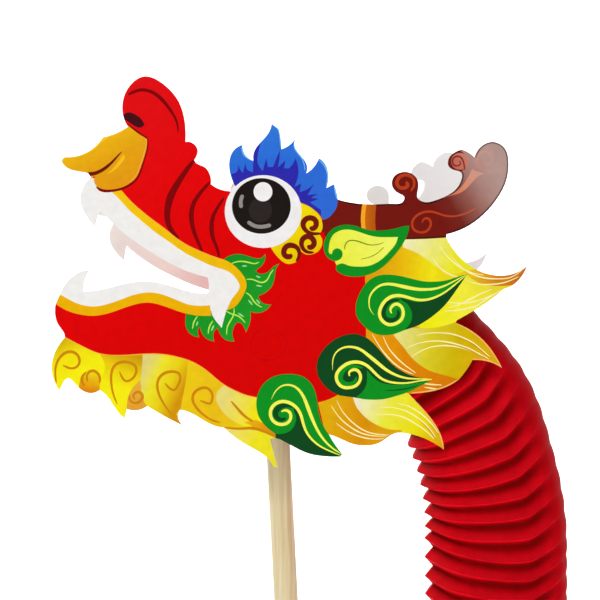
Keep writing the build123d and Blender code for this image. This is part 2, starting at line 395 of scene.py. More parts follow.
def film(name, points, tris, top, layers, place, outward, body):
    """Thin closed sheets of print on a card, one piece for each group of layers.
    place turns card millimetres to X and Z, and outward is the side and the card's face."""
    side, face_y = outward
    spot = place(points)
    for group in dict.fromkeys(layer[0] for layer in layers):
        members = [n for n, layer in enumerate(layers) if layer[0] == group]
        mine = tris[np.isin(top, members)]
        chosen = top[np.isin(top, members)]
        used, local = np.unique(mine, return_inverse=True)
        local = local.reshape(-1, 3)
        count = len(used)
        xz = spot[used] * MM
        low = np.full(count, (face_y + side * FILM_GAP) * MM)
        high = np.full(count, (face_y + side * (FILM_GAP + FILM)) * MM)
        vertices = np.concatenate([np.stack([xz[:, 0], high, xz[:, 1]], 1),
                                   np.stack([xz[:, 0], low, xz[:, 1]], 1)])
        half = np.concatenate([local[:, [0, 1]], local[:, [1, 2]], local[:, [2, 0]]])
        edge_ink = np.tile(chosen, 3)
        code = half[:, 0] * count + half[:, 1]
        rim = ~np.isin(code, half[:, 1] * count + half[:, 0])
        a, b = half[rim].T
        walls = np.stack([b, a, a + count, b + count], 1)
        front, back = local, local[:, ::-1] + count
        if side > 0:
            front, back, walls = front[:, ::-1], back[:, ::-1], walls[:, ::-1]
        faces = front.tolist() + back.tolist() + walls.tolist()
        inks = list(dict.fromkeys(layers[n][1] for n in members))
        slot_of = {n: inks.index(layers[n][1]) for n in members}
        piece = new_piece(f"{name}_{group}", vertices, faces, [INKS[i] for i in inks], body)
        index = [slot_of[n] for n in np.concatenate([chosen, chosen, edge_ink[rim]])]
        piece.data.polygons.foreach_set("material_index", index)
        uv = piece.data.uv_layers.new(name="print")
        corners = np.zeros(len(piece.data.loops), int)
        piece.data.loops.foreach_get("vertex_index", corners)
        flat = np.concatenate([points[used], points[used]]) / UV_SPAN
        uv.data.foreach_set("uv", flat[corners].ravel())
        piece.data.update()


# ---------- inks ----------

ink("red", [(226, 15, 20), (229, 5, 8), (221, 1, 2), (214, 1, 1)], (-80, 420), (0, 270))
ink("deep_red", [(128, 6, 10)])
ink("soft_red", [(196, 2, 10)])
ink("warm_edge", [(255, 168, 66)])
ink("nostril", [(68, 16, 24)])
ink("whisker", [(240, 190, 18), (232, 164, 18), (230, 154, 18)], (-105, 392), (-92, 366))
ink("whisker_light", [(248, 192, 30)])
ink("crease", [(110, 22, 4)])
ink("gum", [(243, 241, 238)])
ink("lip", [(246, 198, 12), (238, 178, 4)], (-75, 350), (-75, 305))
ink("frill", [(20, 140, 34), (34, 160, 40)], (-45, 330), (-15, 300))
ink("frill_vein", [(190, 238, 84)])
ink("frill_light", [(150, 224, 150)])
ink("eye_white", [(243, 241, 240)])
ink("eye_black", [(30, 24, 22)])
ink("eye_middle", [(46, 38, 37)])
ink("eye_glint", [(146, 141, 136)])
ink("brow", [(52, 122, 222), (44, 108, 216), (48, 106, 214)], (-14, 398), (-10, 360))
ink("brow_dark", [(46, 42, 172)])
ink("brow_edge", [(120, 190, 245)])
ink("plate", [(244, 220, 6), (236, 196, 0)], (-5, 352), (5, 328))
ink("plate_curl", [(116, 24, 14)])
ANTLER_FADE = (66, 356), (96, 375)
ink("antler", [(116, 24, 16), (118, 38, 30), (146, 88, 78), (172, 132, 124), (182, 150, 142)],
    *ANTLER_FADE)
ink("antler_edge", [(62, 12, 8), (66, 24, 20), (92, 62, 58), (112, 88, 84)], *ANTLER_FADE)
ink("antler_knob", [(110, 34, 32)])
ink("antler_yellow", [(250, 168, 34)])
ink("antler_orange", [(200, 104, 16), (180, 84, 14)], (33, 352), (38, 352))
ink("swirl", [(184, 60, 28), (190, 74, 44), (200, 112, 92), (200, 150, 138)], *ANTLER_FADE)
ink("antler_flame", [(190, 84, 40), (222, 140, 110), (206, 160, 150)], (70, 360), (94, 374))
ink("leaf_green", [(14, 145, 33)])
ink("leaf_dark", [(14, 72, 30)])
ink("leaf_line", [(248, 248, 90)])
ink("leaf_pale", [(236, 240, 60), (246, 250, 110)], (16, 330), (50, 344))
ink("leaf_thin", [(92, 134, 14)])
ink("mane_root", [(226, 172, 10), (222, 146, 6), (226, 168, 12)], (14, 250), (48, 243))
ink("mane_top", [(226, 150, 8), (234, 184, 10), (244, 228, 20), (238, 206, 28), (218, 130, 24),
                 (200, 96, 30)], (34, 326), (114, 324))
ink("mane_cream", [(243, 236, 178), (240, 236, 120), (238, 232, 40)], (54, 338), (76, 328))
ink("mane_low", [(244, 238, 20), (244, 238, 60), (232, 214, 50)], (66, 300), (102, 314))
ink("mane_middle", [(232, 226, 130), (220, 206, 40), (210, 182, 4), (222, 172, 12)],
    (50, 292), (92, 282))
ink("mane_wedge", [(232, 156, 6), (226, 136, 4), (218, 122, 2)], (36, 292), (76, 268))
ink("mane_bottom", [(240, 236, 196), (238, 234, 60), (238, 226, 14), (224, 164, 10)],
    (28, 258), (71, 238))
ink("mane_line", [(255, 244, 172)])
ink("mane_shade", [(196, 140, 30)])
ink("mane_rim", [(250, 186, 96)])
ink("beard_gold", [(240, 204, 20), (236, 190, 20), (240, 214, 20)], (-60, 262), (-20, 250))
ink("beard_first", [(212, 168, 12), (244, 226, 14), (248, 238, 16)], (-120, 290), (-112, 274))
ink("beard_drop", [(242, 224, 24), (236, 176, 16), (220, 112, 6)], (-104, 275), (-106, 263))
ink("beard_third", [(206, 156, 8), (238, 210, 14), (248, 238, 16)], (-86, 283), (-92, 266))
ink("beard_tan", [(236, 178, 60), (228, 158, 46)], (-84, 268), (-80, 256))
ink("beard_fifth", [(226, 212, 126), (240, 228, 40), (236, 210, 20), (214, 150, 10)],
    (-80, 272), (-60, 262))
ink("beard_cream", [(234, 218, 120), (244, 228, 20)], (-40, 258), (-24, 252))
ink("beard_corner", [(236, 180, 16), (224, 126, 10)], (-26, 248), (-12, 243))
ink("beard_tongue", [(242, 224, 110), (240, 228, 30), (238, 226, 40)], (-36, 244), (-12, 230))
ink("beard_curl", [(208, 134, 12)])

SWIRL_DARK = ink("swirl_dark", [(128, 34, 22), (150, 60, 50)], *ANTLER_FADE)

head_layers = []


def lay(group, name, shapes):
    """Lays one ink over what is already printed."""
    head_layers.append((group, name, shapes))


def line(group, name, points, start, middle, end):
    """Lays one brush line."""
    lay(group, name, stroke(points, start, middle, end))


# ---------- head print: face ----------

FAR = [(-140, 215), (-140, 440), (130, 440), (130, 215)]
lay("face", "red", [anticlockwise(np.array(FAR, float))])

WRINKLES = [
    ([(-52.9, 380), (-57, 374.5), (-61, 368.5), (-64.5, 362), (-66.2, 355), (-66, 349),
      (-64, 344.5), (-60.5, 340.5)], 1.8, 3.7, 1.8),
    ([(-45, 369), (-49, 364.5), (-52.5, 359.5), (-54.2, 354), (-54, 348.5), (-52.5, 343),
      (-50.5, 338), (-48.8, 334)], 1.5, 2.5, 1.4),
    ([(-38, 361), (-41, 356.5), (-43.5, 351.5), (-44.2, 346), (-43.3, 340.5), (-41.5, 336),
      (-40.3, 331)], 1.2, 2.3, 1.2),
]
for points, start, middle, end in WRINKLES:
    line("face", "deep_red", points, start, middle, end)
line("face", "deep_red", [(-85.9, 412.5), (-83, 414), (-79, 415), (-75, 414.3), (-71, 412),
     (-67.5, 408.5), (-64.5, 404.5), (-62.2, 400.5), (-61, 396), (-61, 393.5)], 1.4, 1.9, 0.7)
lay("face", "nostril", patch([(-92, 403.8), (-88.4, 402.4)],
    [(-86, 403.7), (-82, 402.5), (-79, 400), (-77.7, 397.5)],
    [(-79.5, 396.2), (-83, 397.2), (-86.5, 399.5), (-92, 402)]))
line("face", "soft_red", [(-18, 296), (-24, 291), (-24, 284), (-17, 280), (-9, 283), (-7, 290),
     (-13, 295)], 0.3, 0.5, 0.3)

# ---------- head print: mouth ----------

lay("mouth", "frill", patch(
    [(-36, 331.8), (-33, 332.8), (-29.5, 332.9), (-26, 332), (-22, 330.9), (-19.5, 331),
     (-17.3, 333.2)],
    [(-17.5, 330), (-19.5, 326.8), (-22, 324.8)],
    [(-21, 323.5), (-18, 323.2), (-15.5, 324.5), (-13.5, 326.5), (-10.3, 328.2)],
    [(-12, 325.5), (-12.6, 321.5), (-14, 317), (-16.5, 314.2), (-20.8, 312)],
    [(-20, 310), (-17.5, 308), (-14.3, 307.8)],
    [(-16.5, 305.3), (-19.5, 303.8), (-23, 303.6), (-24.8, 304.3)],
    [(-24.7, 300), (-25.8, 296.5), (-27, 293.7)],
    [(-28, 296.5), (-29.5, 298.4), (-31.5, 298.6), (-33, 296.5), (-33.8, 293), (-32.8, 289.2)],
    [(-34, 289.3), (-37, 290), (-39.5, 292.3), (-41.2, 296)],
    [(-42.3, 295), (-43.3, 292.5), (-42.8, 289.3)],
    [(-45, 289.8), (-48, 291.8), (-49.5, 294.5), (-50, 296.5)],
    [(-50.8, 295.5), (-50.9, 293), (-50.3, 291.3)],
    [(-52.5, 291.8), (-55.5, 293.7), (-57, 296.5), (-57.3, 300), (-56.8, 304)],
    [(-46, 306)], [(-33, 313)], [(-38.2, 330.3)]))
FRILL_VEINS = [
    [(-34.5, 328), (-32, 329), (-29, 329.3), (-25, 328.6), (-22.5, 328.2), (-20.3, 329)],
    [(-26.8, 320.3), (-24, 320.3), (-21, 319.2), (-18.5, 318.8), (-16.5, 320), (-15, 322.8),
     (-13.2, 325.3)],
    [(-27.2, 313.7), (-25, 312.3), (-23.5, 310), (-21.5, 307.8), (-19, 306.3)],
    [(-37, 304.5), (-34, 303), (-31, 302), (-29, 300.5), (-27.3, 298.6)],
    [(-33, 306), (-33, 303.5), (-34.5, 300), (-36.3, 296.5), (-36.6, 292.5)],
    [(-43.5, 299.7), (-45.3, 296.5), (-45.9, 293)],
    [(-51.2, 302), (-53, 299), (-53.7, 295.5)],
]
for points in FRILL_VEINS:
    line("mouth", "frill_vein", points, 0.5, 0.75, 0.5)
FRILL_LIGHTS = [
    [(-29, 327), (-26.5, 327)], [(-22, 322), (-19.8, 321.2)], [(-22, 317.3), (-19, 316.8)],
    [(-21.8, 310.3), (-20, 308)], [(-25.8, 310), (-23.7, 307.5)], [(-31, 303.5), (-28, 301.5)],
    [(-51.8, 297), (-51, 299.3)], [(-44.3, 294.5), (-43, 297.5)],
]
for points in FRILL_LIGHTS:
    line("mouth", "frill_light", points, 0.5, 0.9, 0.5)

lay("mouth", "gum", patch(
    [(-96, 367)], [(-92, 362.5), (-85.5, 357), (-78, 350), (-70, 344), (-60, 337.5), (-50, 332),
     (-40, 328), (-33, 324.5), (-29, 320), (-28.5, 315), (-32, 309), (-36.5, 305.2)],
    [(-44.5, 304.7), (-50, 304.6), (-58, 306.5), (-70, 310.3), (-76, 311.2), (-83, 310.8),
     (-92, 308), (-104, 304.5), (-110, 305), (-116, 307), (-124, 309.5)],
    [(-128, 330)], [(-112, 340)], [(-116, 356)], [(-112, 371.8)], [(-105, 371.8)]))
lay("mouth", "lip", patch(
    [(-120, 312.8), (-115, 310), (-108, 307.3), (-103, 306.8), (-96, 308), (-88, 310.8),
     (-80, 313.3), (-74, 313.7), (-68, 312.5), (-60, 309.3), (-55, 307.6), (-50, 307.1),
     (-45, 307.3)],
    [(-44.3, 302.1)],
    [(-50, 302.1), (-56, 303), (-62, 304.8), (-70, 307.6), (-76, 308.7), (-82, 307.9),
     (-90, 305.3), (-98, 302.8), (-104, 302.1), (-110, 302.8), (-117, 305), (-122.1, 308)],
    [(-126, 309)], [(-124, 314.5)]))
lay("mouth", "lip", patch(
    [(-89.5, 365), (-85.5, 360.3), (-80, 355.3), (-74, 350.5), (-68, 346), (-60, 339.8),
     (-50, 334.6), (-40, 330.8), (-37, 329.8), (-33, 327.3), (-30.5, 325), (-28.5, 322.5),
     (-27, 319.5), (-26.8, 316.5), (-28, 313), (-30, 309.5), (-33, 306.3), (-36.5, 305)],
    [(-34, 310.5), (-31.5, 313.8), (-30.2, 316.5), (-31, 319.3), (-33, 322), (-36, 324.3),
     (-40, 325.8), (-45, 327.5), (-50, 329.8), (-55, 332.2), (-60, 335.2), (-65, 338.8),
     (-70, 342.2), (-75, 346), (-80, 350.2), (-85, 354.6), (-90, 360), (-94.5, 364.5)],
    [(-91.5, 366.6)]))
line("mouth", "warm_edge", [(-89, 364.4), (-85.2, 360), (-79.8, 355), (-73.8, 350.2),
     (-67.8, 345.7), (-59.8, 339.5), (-49.9, 334.3), (-40, 330.5), (-37, 329.5)], 0.3, 0.45, 0.3)
lay("mouth", "gum", patch([(-38, 300.5), (-39.1, 296.1)], [(-42, 299.5), (-44, 303),
    (-44.8, 307.3)], [(-36.6, 308)], [(-36.6, 305.5)]))

# ---------- head print: whisker ----------

line("whisker", "deep_red", [(-87, 397.6), (-80, 392.7), (-76.2, 390.4)], 2.0, 1.8, 1.4)
line("whisker", "deep_red", [(-76.2, 390.4), (-76.4, 387), (-78, 381), (-80, 375), (-82, 371),
     (-85.5, 368), (-90, 366), (-94.5, 365.2), (-98, 365.2), (-101.6, 366.8)], 1.2, 2.2, 2.8)
lay("whisker", "whisker", patch(
    [(-85.6, 396.9), (-80, 392.6), (-76.4, 390.3)],
    [(-76.5, 387), (-78, 381), (-80, 375), (-82, 371), (-85.5, 368), (-90, 366), (-94.5, 365.2),
     (-98, 365.3), (-101.5, 366.8), (-102.9, 369.3), (-102.3, 372)],
    [(-104.7, 370.8)], [(-109, 371)], [(-122, 371.7)], [(-126, 384)], [(-100, 398)], [(-88, 399)]))
lay("whisker", "whisker_light", patch(
    [(-93, 376.4), (-90.6, 379.4), (-88.2, 383)],
    [(-87.6, 381.6), (-89.4, 378.2), (-92.4, 375), (-96.6, 372.9)]))
lay("whisker", "whisker_light", patch(
    [(-88, 395), (-95, 391.4), (-99, 388.6), (-104.5, 384), (-111, 381.6)],
    [(-118, 381.6)], [(-105, 388)], [(-98, 395)], [(-87, 398)]))
line("whisker", "warm_edge", [(-79.6, 392.1), (-77, 390.2), (-77.1, 387), (-78.6, 381),
     (-80.6, 375.3), (-82.6, 371.5), (-86, 368.6)], 0.3, 0.7, 0.3)
line("whisker", "crease", [(-107, 373), (-103, 373.2), (-100, 374.3), (-97, 376.2), (-94, 378.8),
     (-91.5, 381.5), (-89, 384.2)], 2.0, 1.6, 0.5)

# ---------- head print: brow ----------

lay("brow", "brow", patch(
    [(-36.2, 369)], [(-38.5, 376)], [(-38, 392)], [(-14, 402)], [(20, 388)], [(22, 364)],
    [(20.5, 360.3)], [(18.9, 360.2)], [(18.3, 356.5), (16, 352.8), (13, 350.5), (11, 350.3)],
    [(10.5, 352), (7, 355.3), (3, 357.7), (-0.2, 358.9)], [(-10, 362)], [(-30, 364)],
    [(-32.7, 367.4)]))
BROW_EDGES = [
    [(-14.2, 397.8), (-10.9, 395.3), (-9.9, 390.3), (-9.6, 386.2)],
    [(-2.5, 390), (-2.9, 386.6), (0.6, 381.4), (2.6, 374.5)],
    [(9.4, 380.2), (13.2, 375.2), (13.7, 370), (13, 367)],
    [(17, 367.2), (17.7, 364), (18.4, 360.5)],
    [(-29.4, 386.6), (-28, 382.6), (-24, 379.6)],
]
for points in BROW_EDGES:
    line("brow", "brow_edge", points, 0.4, 0.8, 0.3)
lay("brow", "brow_dark", patch(
    [(-34.4, 373)], [(-32.4, 373.5), (-31.2, 381)], [(-30.3, 376), (-28.6, 373.5)],
    [(-27.2, 378.8)], [(-26.6, 375.5), (-23.5, 373.7)],
    [(-23.2, 381), (-22, 385.8), (-19.5, 389.2)], [(-21, 383), (-21, 378), (-18.6, 374.4)],
    [(-16.9, 381)], [(-16, 376.5)], [(-13.5, 376.5)], [(-10, 385)], [(-10.6, 378.5), (-11, 376.3)],
    [(-7.2, 379.8)], [(-8, 375.8)], [(-5.5, 375.8)], [(-4, 377.5), (-2.2, 380.8)],
    [(-1, 377), (-0.8, 373), (-2.8, 366.5)], [(0.6, 368.3)], [(-0.2, 364)],
    [(3, 365), (7, 368)], [(3.8, 362.5)], [(8.8, 363)], [(5.5, 361)], [(9.5, 360.6)],
    [(5, 358.8)], [(10.5, 355)], [(10.5, 352)], [(7, 355.3), (3, 357.7), (-0.2, 358.9)],
    [(-10, 362)], [(-30, 364)], [(-32.7, 367.4)]))

# ---------- head print: mane ----------

lay("mane", "mane_root", patch(
    [(44, 338), (36, 330), (32.5, 321.5)], [(33, 308)], [(35, 294.5)], [(33.8, 290)],
    [(25, 278)], [(18.5, 262.3)], [(14, 260.2), (9, 258.8)], [(12, 246)], [(14.4, 242.8)],
    [(12, 236)], [(40, 230)], [(80, 228)], [(112, 265)], [(125, 330)], [(90, 332)],
    [(79.5, 336.5)], [(74.3, 341.8)], [(53.3, 340.3)]))
lay("mane", "mane_top", patch(
    [(44, 338), (36, 330), (32.5, 321.5)], [(33, 308)], [(50, 300)], [(60, 296)],
    [(67.4, 296), (73, 297.3), (78, 299.2)], [(84, 299)], [(112, 314)], [(125, 330)],
    [(90, 332)], [(79.5, 336.5)], [(74.3, 341.8)], [(53.3, 340.3)]))
lay("mane", "mane_cream", patch(
    [(51.5, 336.3)], [(55, 335), (60, 332.5), (65, 329), (70, 325.4), (76, 323), (82, 324.2),
     (88, 325.6)], [(86, 332)], [(79.5, 336.5)], [(74.3, 341.8)], [(51, 342)]))
lay("mane", "mane_low", patch(
    [(78, 318)], [(83.5, 322.3)], [(90, 318.4), (98, 317), (107, 317.5)], [(106, 312)],
    [(90, 300)], [(78.2, 298.8)], [(73, 297.3), (67.4, 296), (60, 296)], [(60, 300)]))
lay("mane", "mane_middle", patch(
    [(60, 295.9), (67.4, 296.2), (73, 297.4), (77.9, 299)], [(84, 298.8)], [(106, 287)],
    [(106, 271)], [(84, 272)], [(79, 270.3)],
    [(72, 272.5), (66, 274.2), (60, 277.5), (56, 281), (52, 286), (47, 292)], [(46, 297)]))
lay("mane", "mane_wedge", patch(
    [(41, 297)], [(46, 297)], [(47, 292)],
    [(52, 286), (56, 281), (60, 277.5), (66, 274.2), (72, 272.5), (79, 270.3)], [(82, 268)],
    [(70, 260)], [(56, 262)], [(54.4, 263.1)], [(50, 264)], [(38, 280)], [(33, 290)],
    [(33, 297)]))
lay("mane", "mane_bottom", patch(
    [(27, 264)], [(50, 265)], [(54.4, 263.2)], [(58, 262)], [(78, 242)], [(75, 231)],
    [(60, 238)], [(52, 241.5)], [(49.3, 243.5)],
    [(51, 244.5), (46, 245.2), (40, 246.8), (35, 249.5), (31, 253), (28, 257), (26.5, 261.3)]))
MANE_LINES = [
    [(76, 331.5), (79.5, 327.5), (84, 324), (89, 321.8), (94, 320.8), (99, 320.6), (104, 321),
     (108, 322.7), (111, 325)],
    [(83, 320), (87, 318.5), (92, 317.8), (98, 318), (103, 319), (109.5, 321.8)],
    [(80, 332), (85, 328.4), (90.5, 326), (96, 324.6), (102, 324), (108, 325)],
    [(86, 305.6), (91, 309), (96, 312.3), (101, 315)],
    [(69.3, 337.4), (73.5, 332), (79.6, 326.7), (86, 323.6), (92, 322.4)],
    [(65.8, 332), (70, 326), (76, 322.4), (83, 320.6)],
    [(72, 304.5), (79, 305), (86.5, 306.6), (91, 308.6)],
    [(73.5, 309), (81, 308.4), (88, 309.4), (97, 313)],
    [(74, 306), (80, 308), (88, 312), (96, 315.5)],
    [(58, 292.3), (63, 293.3), (69, 293.6), (76, 293), (82, 291), (87, 288.3), (91, 285),
     (95, 281.5)],
    [(53, 285.8), (58, 288), (64, 289.3), (71, 289.4), (78, 288), (84, 286), (90, 283),
     (94.5, 280.5)],
    [(55.5, 281.5), (60, 284.3), (66, 286.6), (73, 287.2), (80, 286.3), (86, 284.3), (91, 282)],
    [(36, 293), (39, 288), (43, 282.5), (47.5, 278), (53, 274.5), (57, 272.8)],
    [(41.5, 292), (44, 286.5), (48, 281.5), (53, 277), (58, 273.5)],
    [(60, 268.5), (65, 267.9), (71, 267.5)], [(62, 266.5), (65.5, 265.9), (69, 265.5)],
    [(48, 258.5), (54, 257), (60, 253.5), (65, 249), (69, 243.5)],
    [(40, 256.3), (46, 256.3), (53, 254.5), (59, 251), (64, 246.5), (68, 241)],
    [(38, 252.5), (45, 252.8), (52, 251.3), (58, 248), (63, 244.5), (67, 240.5)],
    [(18.3, 260), (20.5, 255.5), (24, 251), (28.5, 247), (34, 244), (40, 242.8), (45, 242.5)],
    [(15.5, 257.5), (18, 253.5), (21.5, 249.5), (26, 246), (31.5, 243.2), (37.5, 242.1),
     (43, 242)],
    [(18, 248.5), (22, 245.5), (27, 242.8), (33, 241), (38, 240.5), (42, 240.8)],
]
for points in MANE_LINES:
    line("mane", "mane_line", points, 0.3, 0.75, 0.35)
for number in (0, 9, 10, 16, 17):
    lower = [(x + 0.2, z - 0.9) for x, z in MANE_LINES[number][3:]]
    line("mane", "mane_shade", lower, 0.15, 0.4, 0.3)
MANE_RIMS = [
    [(78.4, 298.3), (84, 295.3), (90, 291), (96, 284.2), (100.6, 276.6)],
    [(100.4, 276.6), (95, 279.4), (86.2, 280.4)],
    [(54.8, 262.9), (60, 256.9), (66.5, 249.1), (70.3, 241.8), (71.6, 235.8)],
    [(79, 270.3), (73, 266.9), (65, 264.6), (55.4, 263.5)],
]
for points in MANE_RIMS:
    line("mane", "mane_rim", points, 0.5, 0.8, 0.5)

# ---------- head print: antler ----------

lay("antler", "antler", patch(
    [(65, 340.7), (53.3, 340.3)], [(40, 338)], [(14, 338)], [(12, 343.8)], [(10.5, 344.5)],
    [(11, 350)], [(12.8, 350.4), (16, 352.8), (18.3, 356.5), (18.9, 360.2)], [(19.5, 364)],
    [(40, 392)], [(110, 395)], [(112, 360)], [(85, 343)], [(75.5, 342.3)], [(73.1, 341.2)]))
ANTLER_EDGES = [
    [(18.9, 359.9), (27, 358), (38, 357.4), (47, 357.7), (51.3, 358.5), (51.8, 361.2),
     (48.6, 363.6), (45.7, 367), (46.3, 371.5), (50.5, 374.2), (55.5, 373.8), (59, 370.4),
     (59.4, 365.5), (59.2, 361), (61.5, 358.7), (68, 359.5), (75.5, 362.9), (80.8, 369.1),
     (81, 373.9), (77.4, 375.3), (74.6, 377.2), (74.8, 380.6), (77.2, 383.2), (80.8, 384.8)],
    [(87.6, 380.9), (90.4, 386), (96.5, 388.6), (101.7, 385.9), (103.8, 378), (102.6, 369.6),
     (97.7, 360.3), (89.7, 351.5), (81.8, 346.3), (73.2, 343.3)],
    [(73.1, 341.6), (65, 341.1), (53.3, 340.7)],
]
for points in ANTLER_EDGES:
    line("antler", "antler_edge", points, 0.7, 0.9, 0.7)
lay("antler", "antler_orange", patch(
    [(31.5, 360)], [(30.6, 354), (30.4, 350), (31, 344)], [(38, 344)],
    [(37.6, 350), (37.8, 354), (38.5, 360)]))
lay("antler", "antler_yellow", patch(
    [(31.5, 360)], [(30.6, 354), (30.4, 350), (31, 344)], [(33, 344)],
    [(32.5, 350), (32.7, 354), (33.6, 360)]))
line("antler", "swirl", [(55.4, 364.3), (57, 367.5), (56.4, 370.8), (52.6, 372.5),
     (49.3, 370.9), (48.5, 367.9), (51, 365.9), (53.8, 367.2), (53, 369.2)], 1.1, 1.7, 1.9)
lay("antler", "antler_knob", disc((78.2, 379.3), 5.2, 5.6))
lay("antler", "swirl", disc((79.9, 379.3), 4.4, 4.2))
line("antler", SWIRL_DARK, [(82.3, 375), (81.8, 378.5), (79.8, 381.6), (76.8, 381), (76.3, 378.4),
     (78.3, 377), (80.2, 378), (79.6, 379.7)], 0.8, 1.0, 0.7)
line("antler", "swirl", [(88, 356), (84, 353.8), (80, 352.4), (76, 351.8), (72, 352.3),
     (68, 353.6), (64, 354.2), (60, 353.2), (57, 350.8), (56, 347.8), (57.2, 345), (60, 343.8),
     (63, 344.3), (65, 346.5), (65.3, 349), (63.8, 350.8), (61.8, 350.3), (61, 348.6)],
     0.7, 1.2, 1.2)
line("antler", "swirl", [(97, 373), (94.5, 374.6), (90.8, 375.4), (88.4, 378.6), (89, 382),
     (92, 384), (95.4, 382.6), (96, 379.6), (93.8, 377.8), (91.6, 379.2), (92.2, 381)],
     0.6, 1.2, 0.9)
lay("antler", "antler_flame", patch(
    [(75, 362), (80, 363.5), (84, 366.5), (88.5, 371.3), (92, 373.3)], [(87.5, 374.5)],
    [(86, 375.5)], [(84, 371.5), (81, 367), (76, 363), (70.5, 360.7)]))

# ---------- head print: curled plate beside the eye ----------

lay("brow", "plate", patch(
    [(3, 357.5), (7, 355), (10.2, 351.5), (11.2, 348), (11, 345), (9.5, 343)],
    [(10.8, 341), (11, 337.5), (9.5, 334.8), (6.5, 333), (3, 332.8), (0.5, 334.3)],
    [(0.2, 332.5), (-1, 329.7), (-4, 328.2), (-6.5, 328.1), (-10, 330.3), (-13, 333.8),
     (-14.5, 336.1)], [(-12, 350)], [(0.3, 358.5)]))
PLATE_CURLS = [
    [(10.5, 343.3), (5, 343.5), (2, 346), (1.8, 349), (4.5, 351), (7.5, 350), (8, 347.3),
     (6.5, 345.7), (4.8, 346.3)],
    [(7, 333.8), (3, 334.3), (0.8, 337.5), (1.3, 340.3), (4, 341.8), (6.5, 340.3), (6.8, 337.5),
     (5, 336.3), (3.8, 337.3)],
    [(-2, 329.2), (-0.5, 332), (-1, 335.5), (-3.5, 337.2), (-6.3, 337), (-8, 334.8),
     (-7.5, 332.3), (-5.5, 331.6), (-4, 332.8)],
]
for points in PLATE_CURLS:
    line("brow", "plate_curl", points, 1.2, 2.8, 2.7)

# ---------- head print: eye ----------

# This patch carries the white rim out to the card's corner between eye and brow.
lay("eye", "eye_white", patch([(-36, 369.5)], [(-31, 366)], [(-30, 360)], [(-35.6, 364.6)]))
lay("eye", "eye_white", disc((-18.4, 354.2), 19.2, 18.2))
lay("eye", "eye_black", disc((-19.3, 357), 14.7, 13.9))
lay("eye", "eye_middle", disc((-19.8, 354.9), 5.8, 6.2))
lay("eye", "eye_white", disc((-18.5, 364.1), 4.7, 4.8))
line("eye", "eye_glint", [(-28.6, 362.6), (-29.6, 359.4), (-29.3, 356)], 1.9, 1.9, 1.9)
line("eye", "eye_glint", [(-26.2, 349.2), (-22.5, 347), (-19, 346.6), (-14.5, 347.5)],
     1.9, 1.9, 1.9)

# ---------- head print: beard ----------

lay("beard", "warm_edge", patch(
    [(-27, 262.7), (-33, 265.2), (-38, 267.9), (-43, 271.9), (-48, 275.9), (-53, 278.9),
     (-60, 281.4), (-68, 283), (-76, 283.3), (-86, 282.7), (-94, 282.6), (-100, 283.4),
     (-107, 286.2), (-113, 289.2), (-117.7, 291.7)],
    [(-119.5, 292)], [(-128, 285)], [(-126, 258)], [(-90, 245)], [(-60, 240)], [(-12, 220)],
    [(-8, 236)], [(-5, 245)], [(-15, 262)], [(-21.5, 261.4)]))
lay("beard", "beard_gold", patch(
    [(-27, 262.3), (-33, 264.8), (-38, 267.5), (-43, 271.5), (-48, 275.5), (-53, 278.5),
     (-60, 281), (-68, 282.6), (-76, 282.9), (-86, 282.3), (-94, 282.2), (-100, 283),
     (-107, 285.8), (-113, 288.8), (-117.7, 291.2)],
    [(-119.5, 291.4)], [(-128, 285)], [(-126, 258)], [(-90, 245)], [(-60, 240)], [(-12, 220)],
    [(-8, 236)], [(-5, 245)], [(-15, 262)], [(-21.5, 261)]))
lay("beard", "beard_first", patch(
    [(-107, 285.7), (-100, 282.9)], [(-97.5, 276), (-99.5, 270), (-100.2, 262)], [(-112, 260)],
    [(-128, 262)], [(-128, 288)], [(-117.7, 291.1)]))
lay("beard", "beard_drop", patch(
    [(-110.3, 268), (-108.5, 273), (-104.5, 275.5), (-100.8, 274), (-99, 269), (-99.5, 262)],
    [(-111, 262)]))
lay("beard", "beard_third", patch(
    [(-86, 282.2), (-78.5, 282.7)], [(-79, 276), (-79.8, 270)],
    [(-84, 265.5), (-86, 261), (-86.4, 255.6)], [(-86.5, 248)], [(-100, 256)], [(-100.2, 265)],
    [(-99.5, 270), (-97.5, 276), (-99.6, 282.8)]))
lay("beard", "beard_tan", patch(
    [(-86, 261), (-84, 265.5), (-79.8, 270)], [(-79.3, 265), (-78.3, 260), (-76.4, 257)],
    [(-80, 250)], [(-86.6, 254)]))
lay("beard", "beard_fifth", patch(
    [(-68, 282.5), (-60, 280.9), (-56, 279.6)], [(-57, 270), (-58.5, 262), (-59.8, 255.2)],
    [(-62, 253)], [(-54, 244)], [(-77, 252)], [(-76.4, 257)], [(-78.3, 260), (-79.3, 265),
     (-79.8, 270)], [(-79, 276), (-78.6, 282.8)]))
lay("beard", "beard_cream", patch(
    [(-40, 265.8), (-42, 262), (-40, 256), (-36, 251.5), (-31, 248.3), (-27.5, 246.8)],
    [(-18, 247)], [(-14, 252)], [(-20, 261)], [(-27, 262.2), (-33, 264.7), (-38, 267.4)]))
lay("beard", "beard_corner", patch(
    [(-24, 246.7), (-27.5, 248.6), (-22, 250)], [(-12, 246)], [(-8, 240)], [(-10.3, 240.5)],
    [(-14, 242.3), (-19, 244.5), (-24, 245.7)]))
lay("beard", "beard_tongue", patch(
    [(-30, 245.5), (-24, 245.7), (-19, 244.5), (-14, 242.3), (-10.3, 240.3)], [(-6, 236)],
    [(-8, 222)], [(-40, 236)], [(-40, 246.2)], [(-38, 246.2)]))
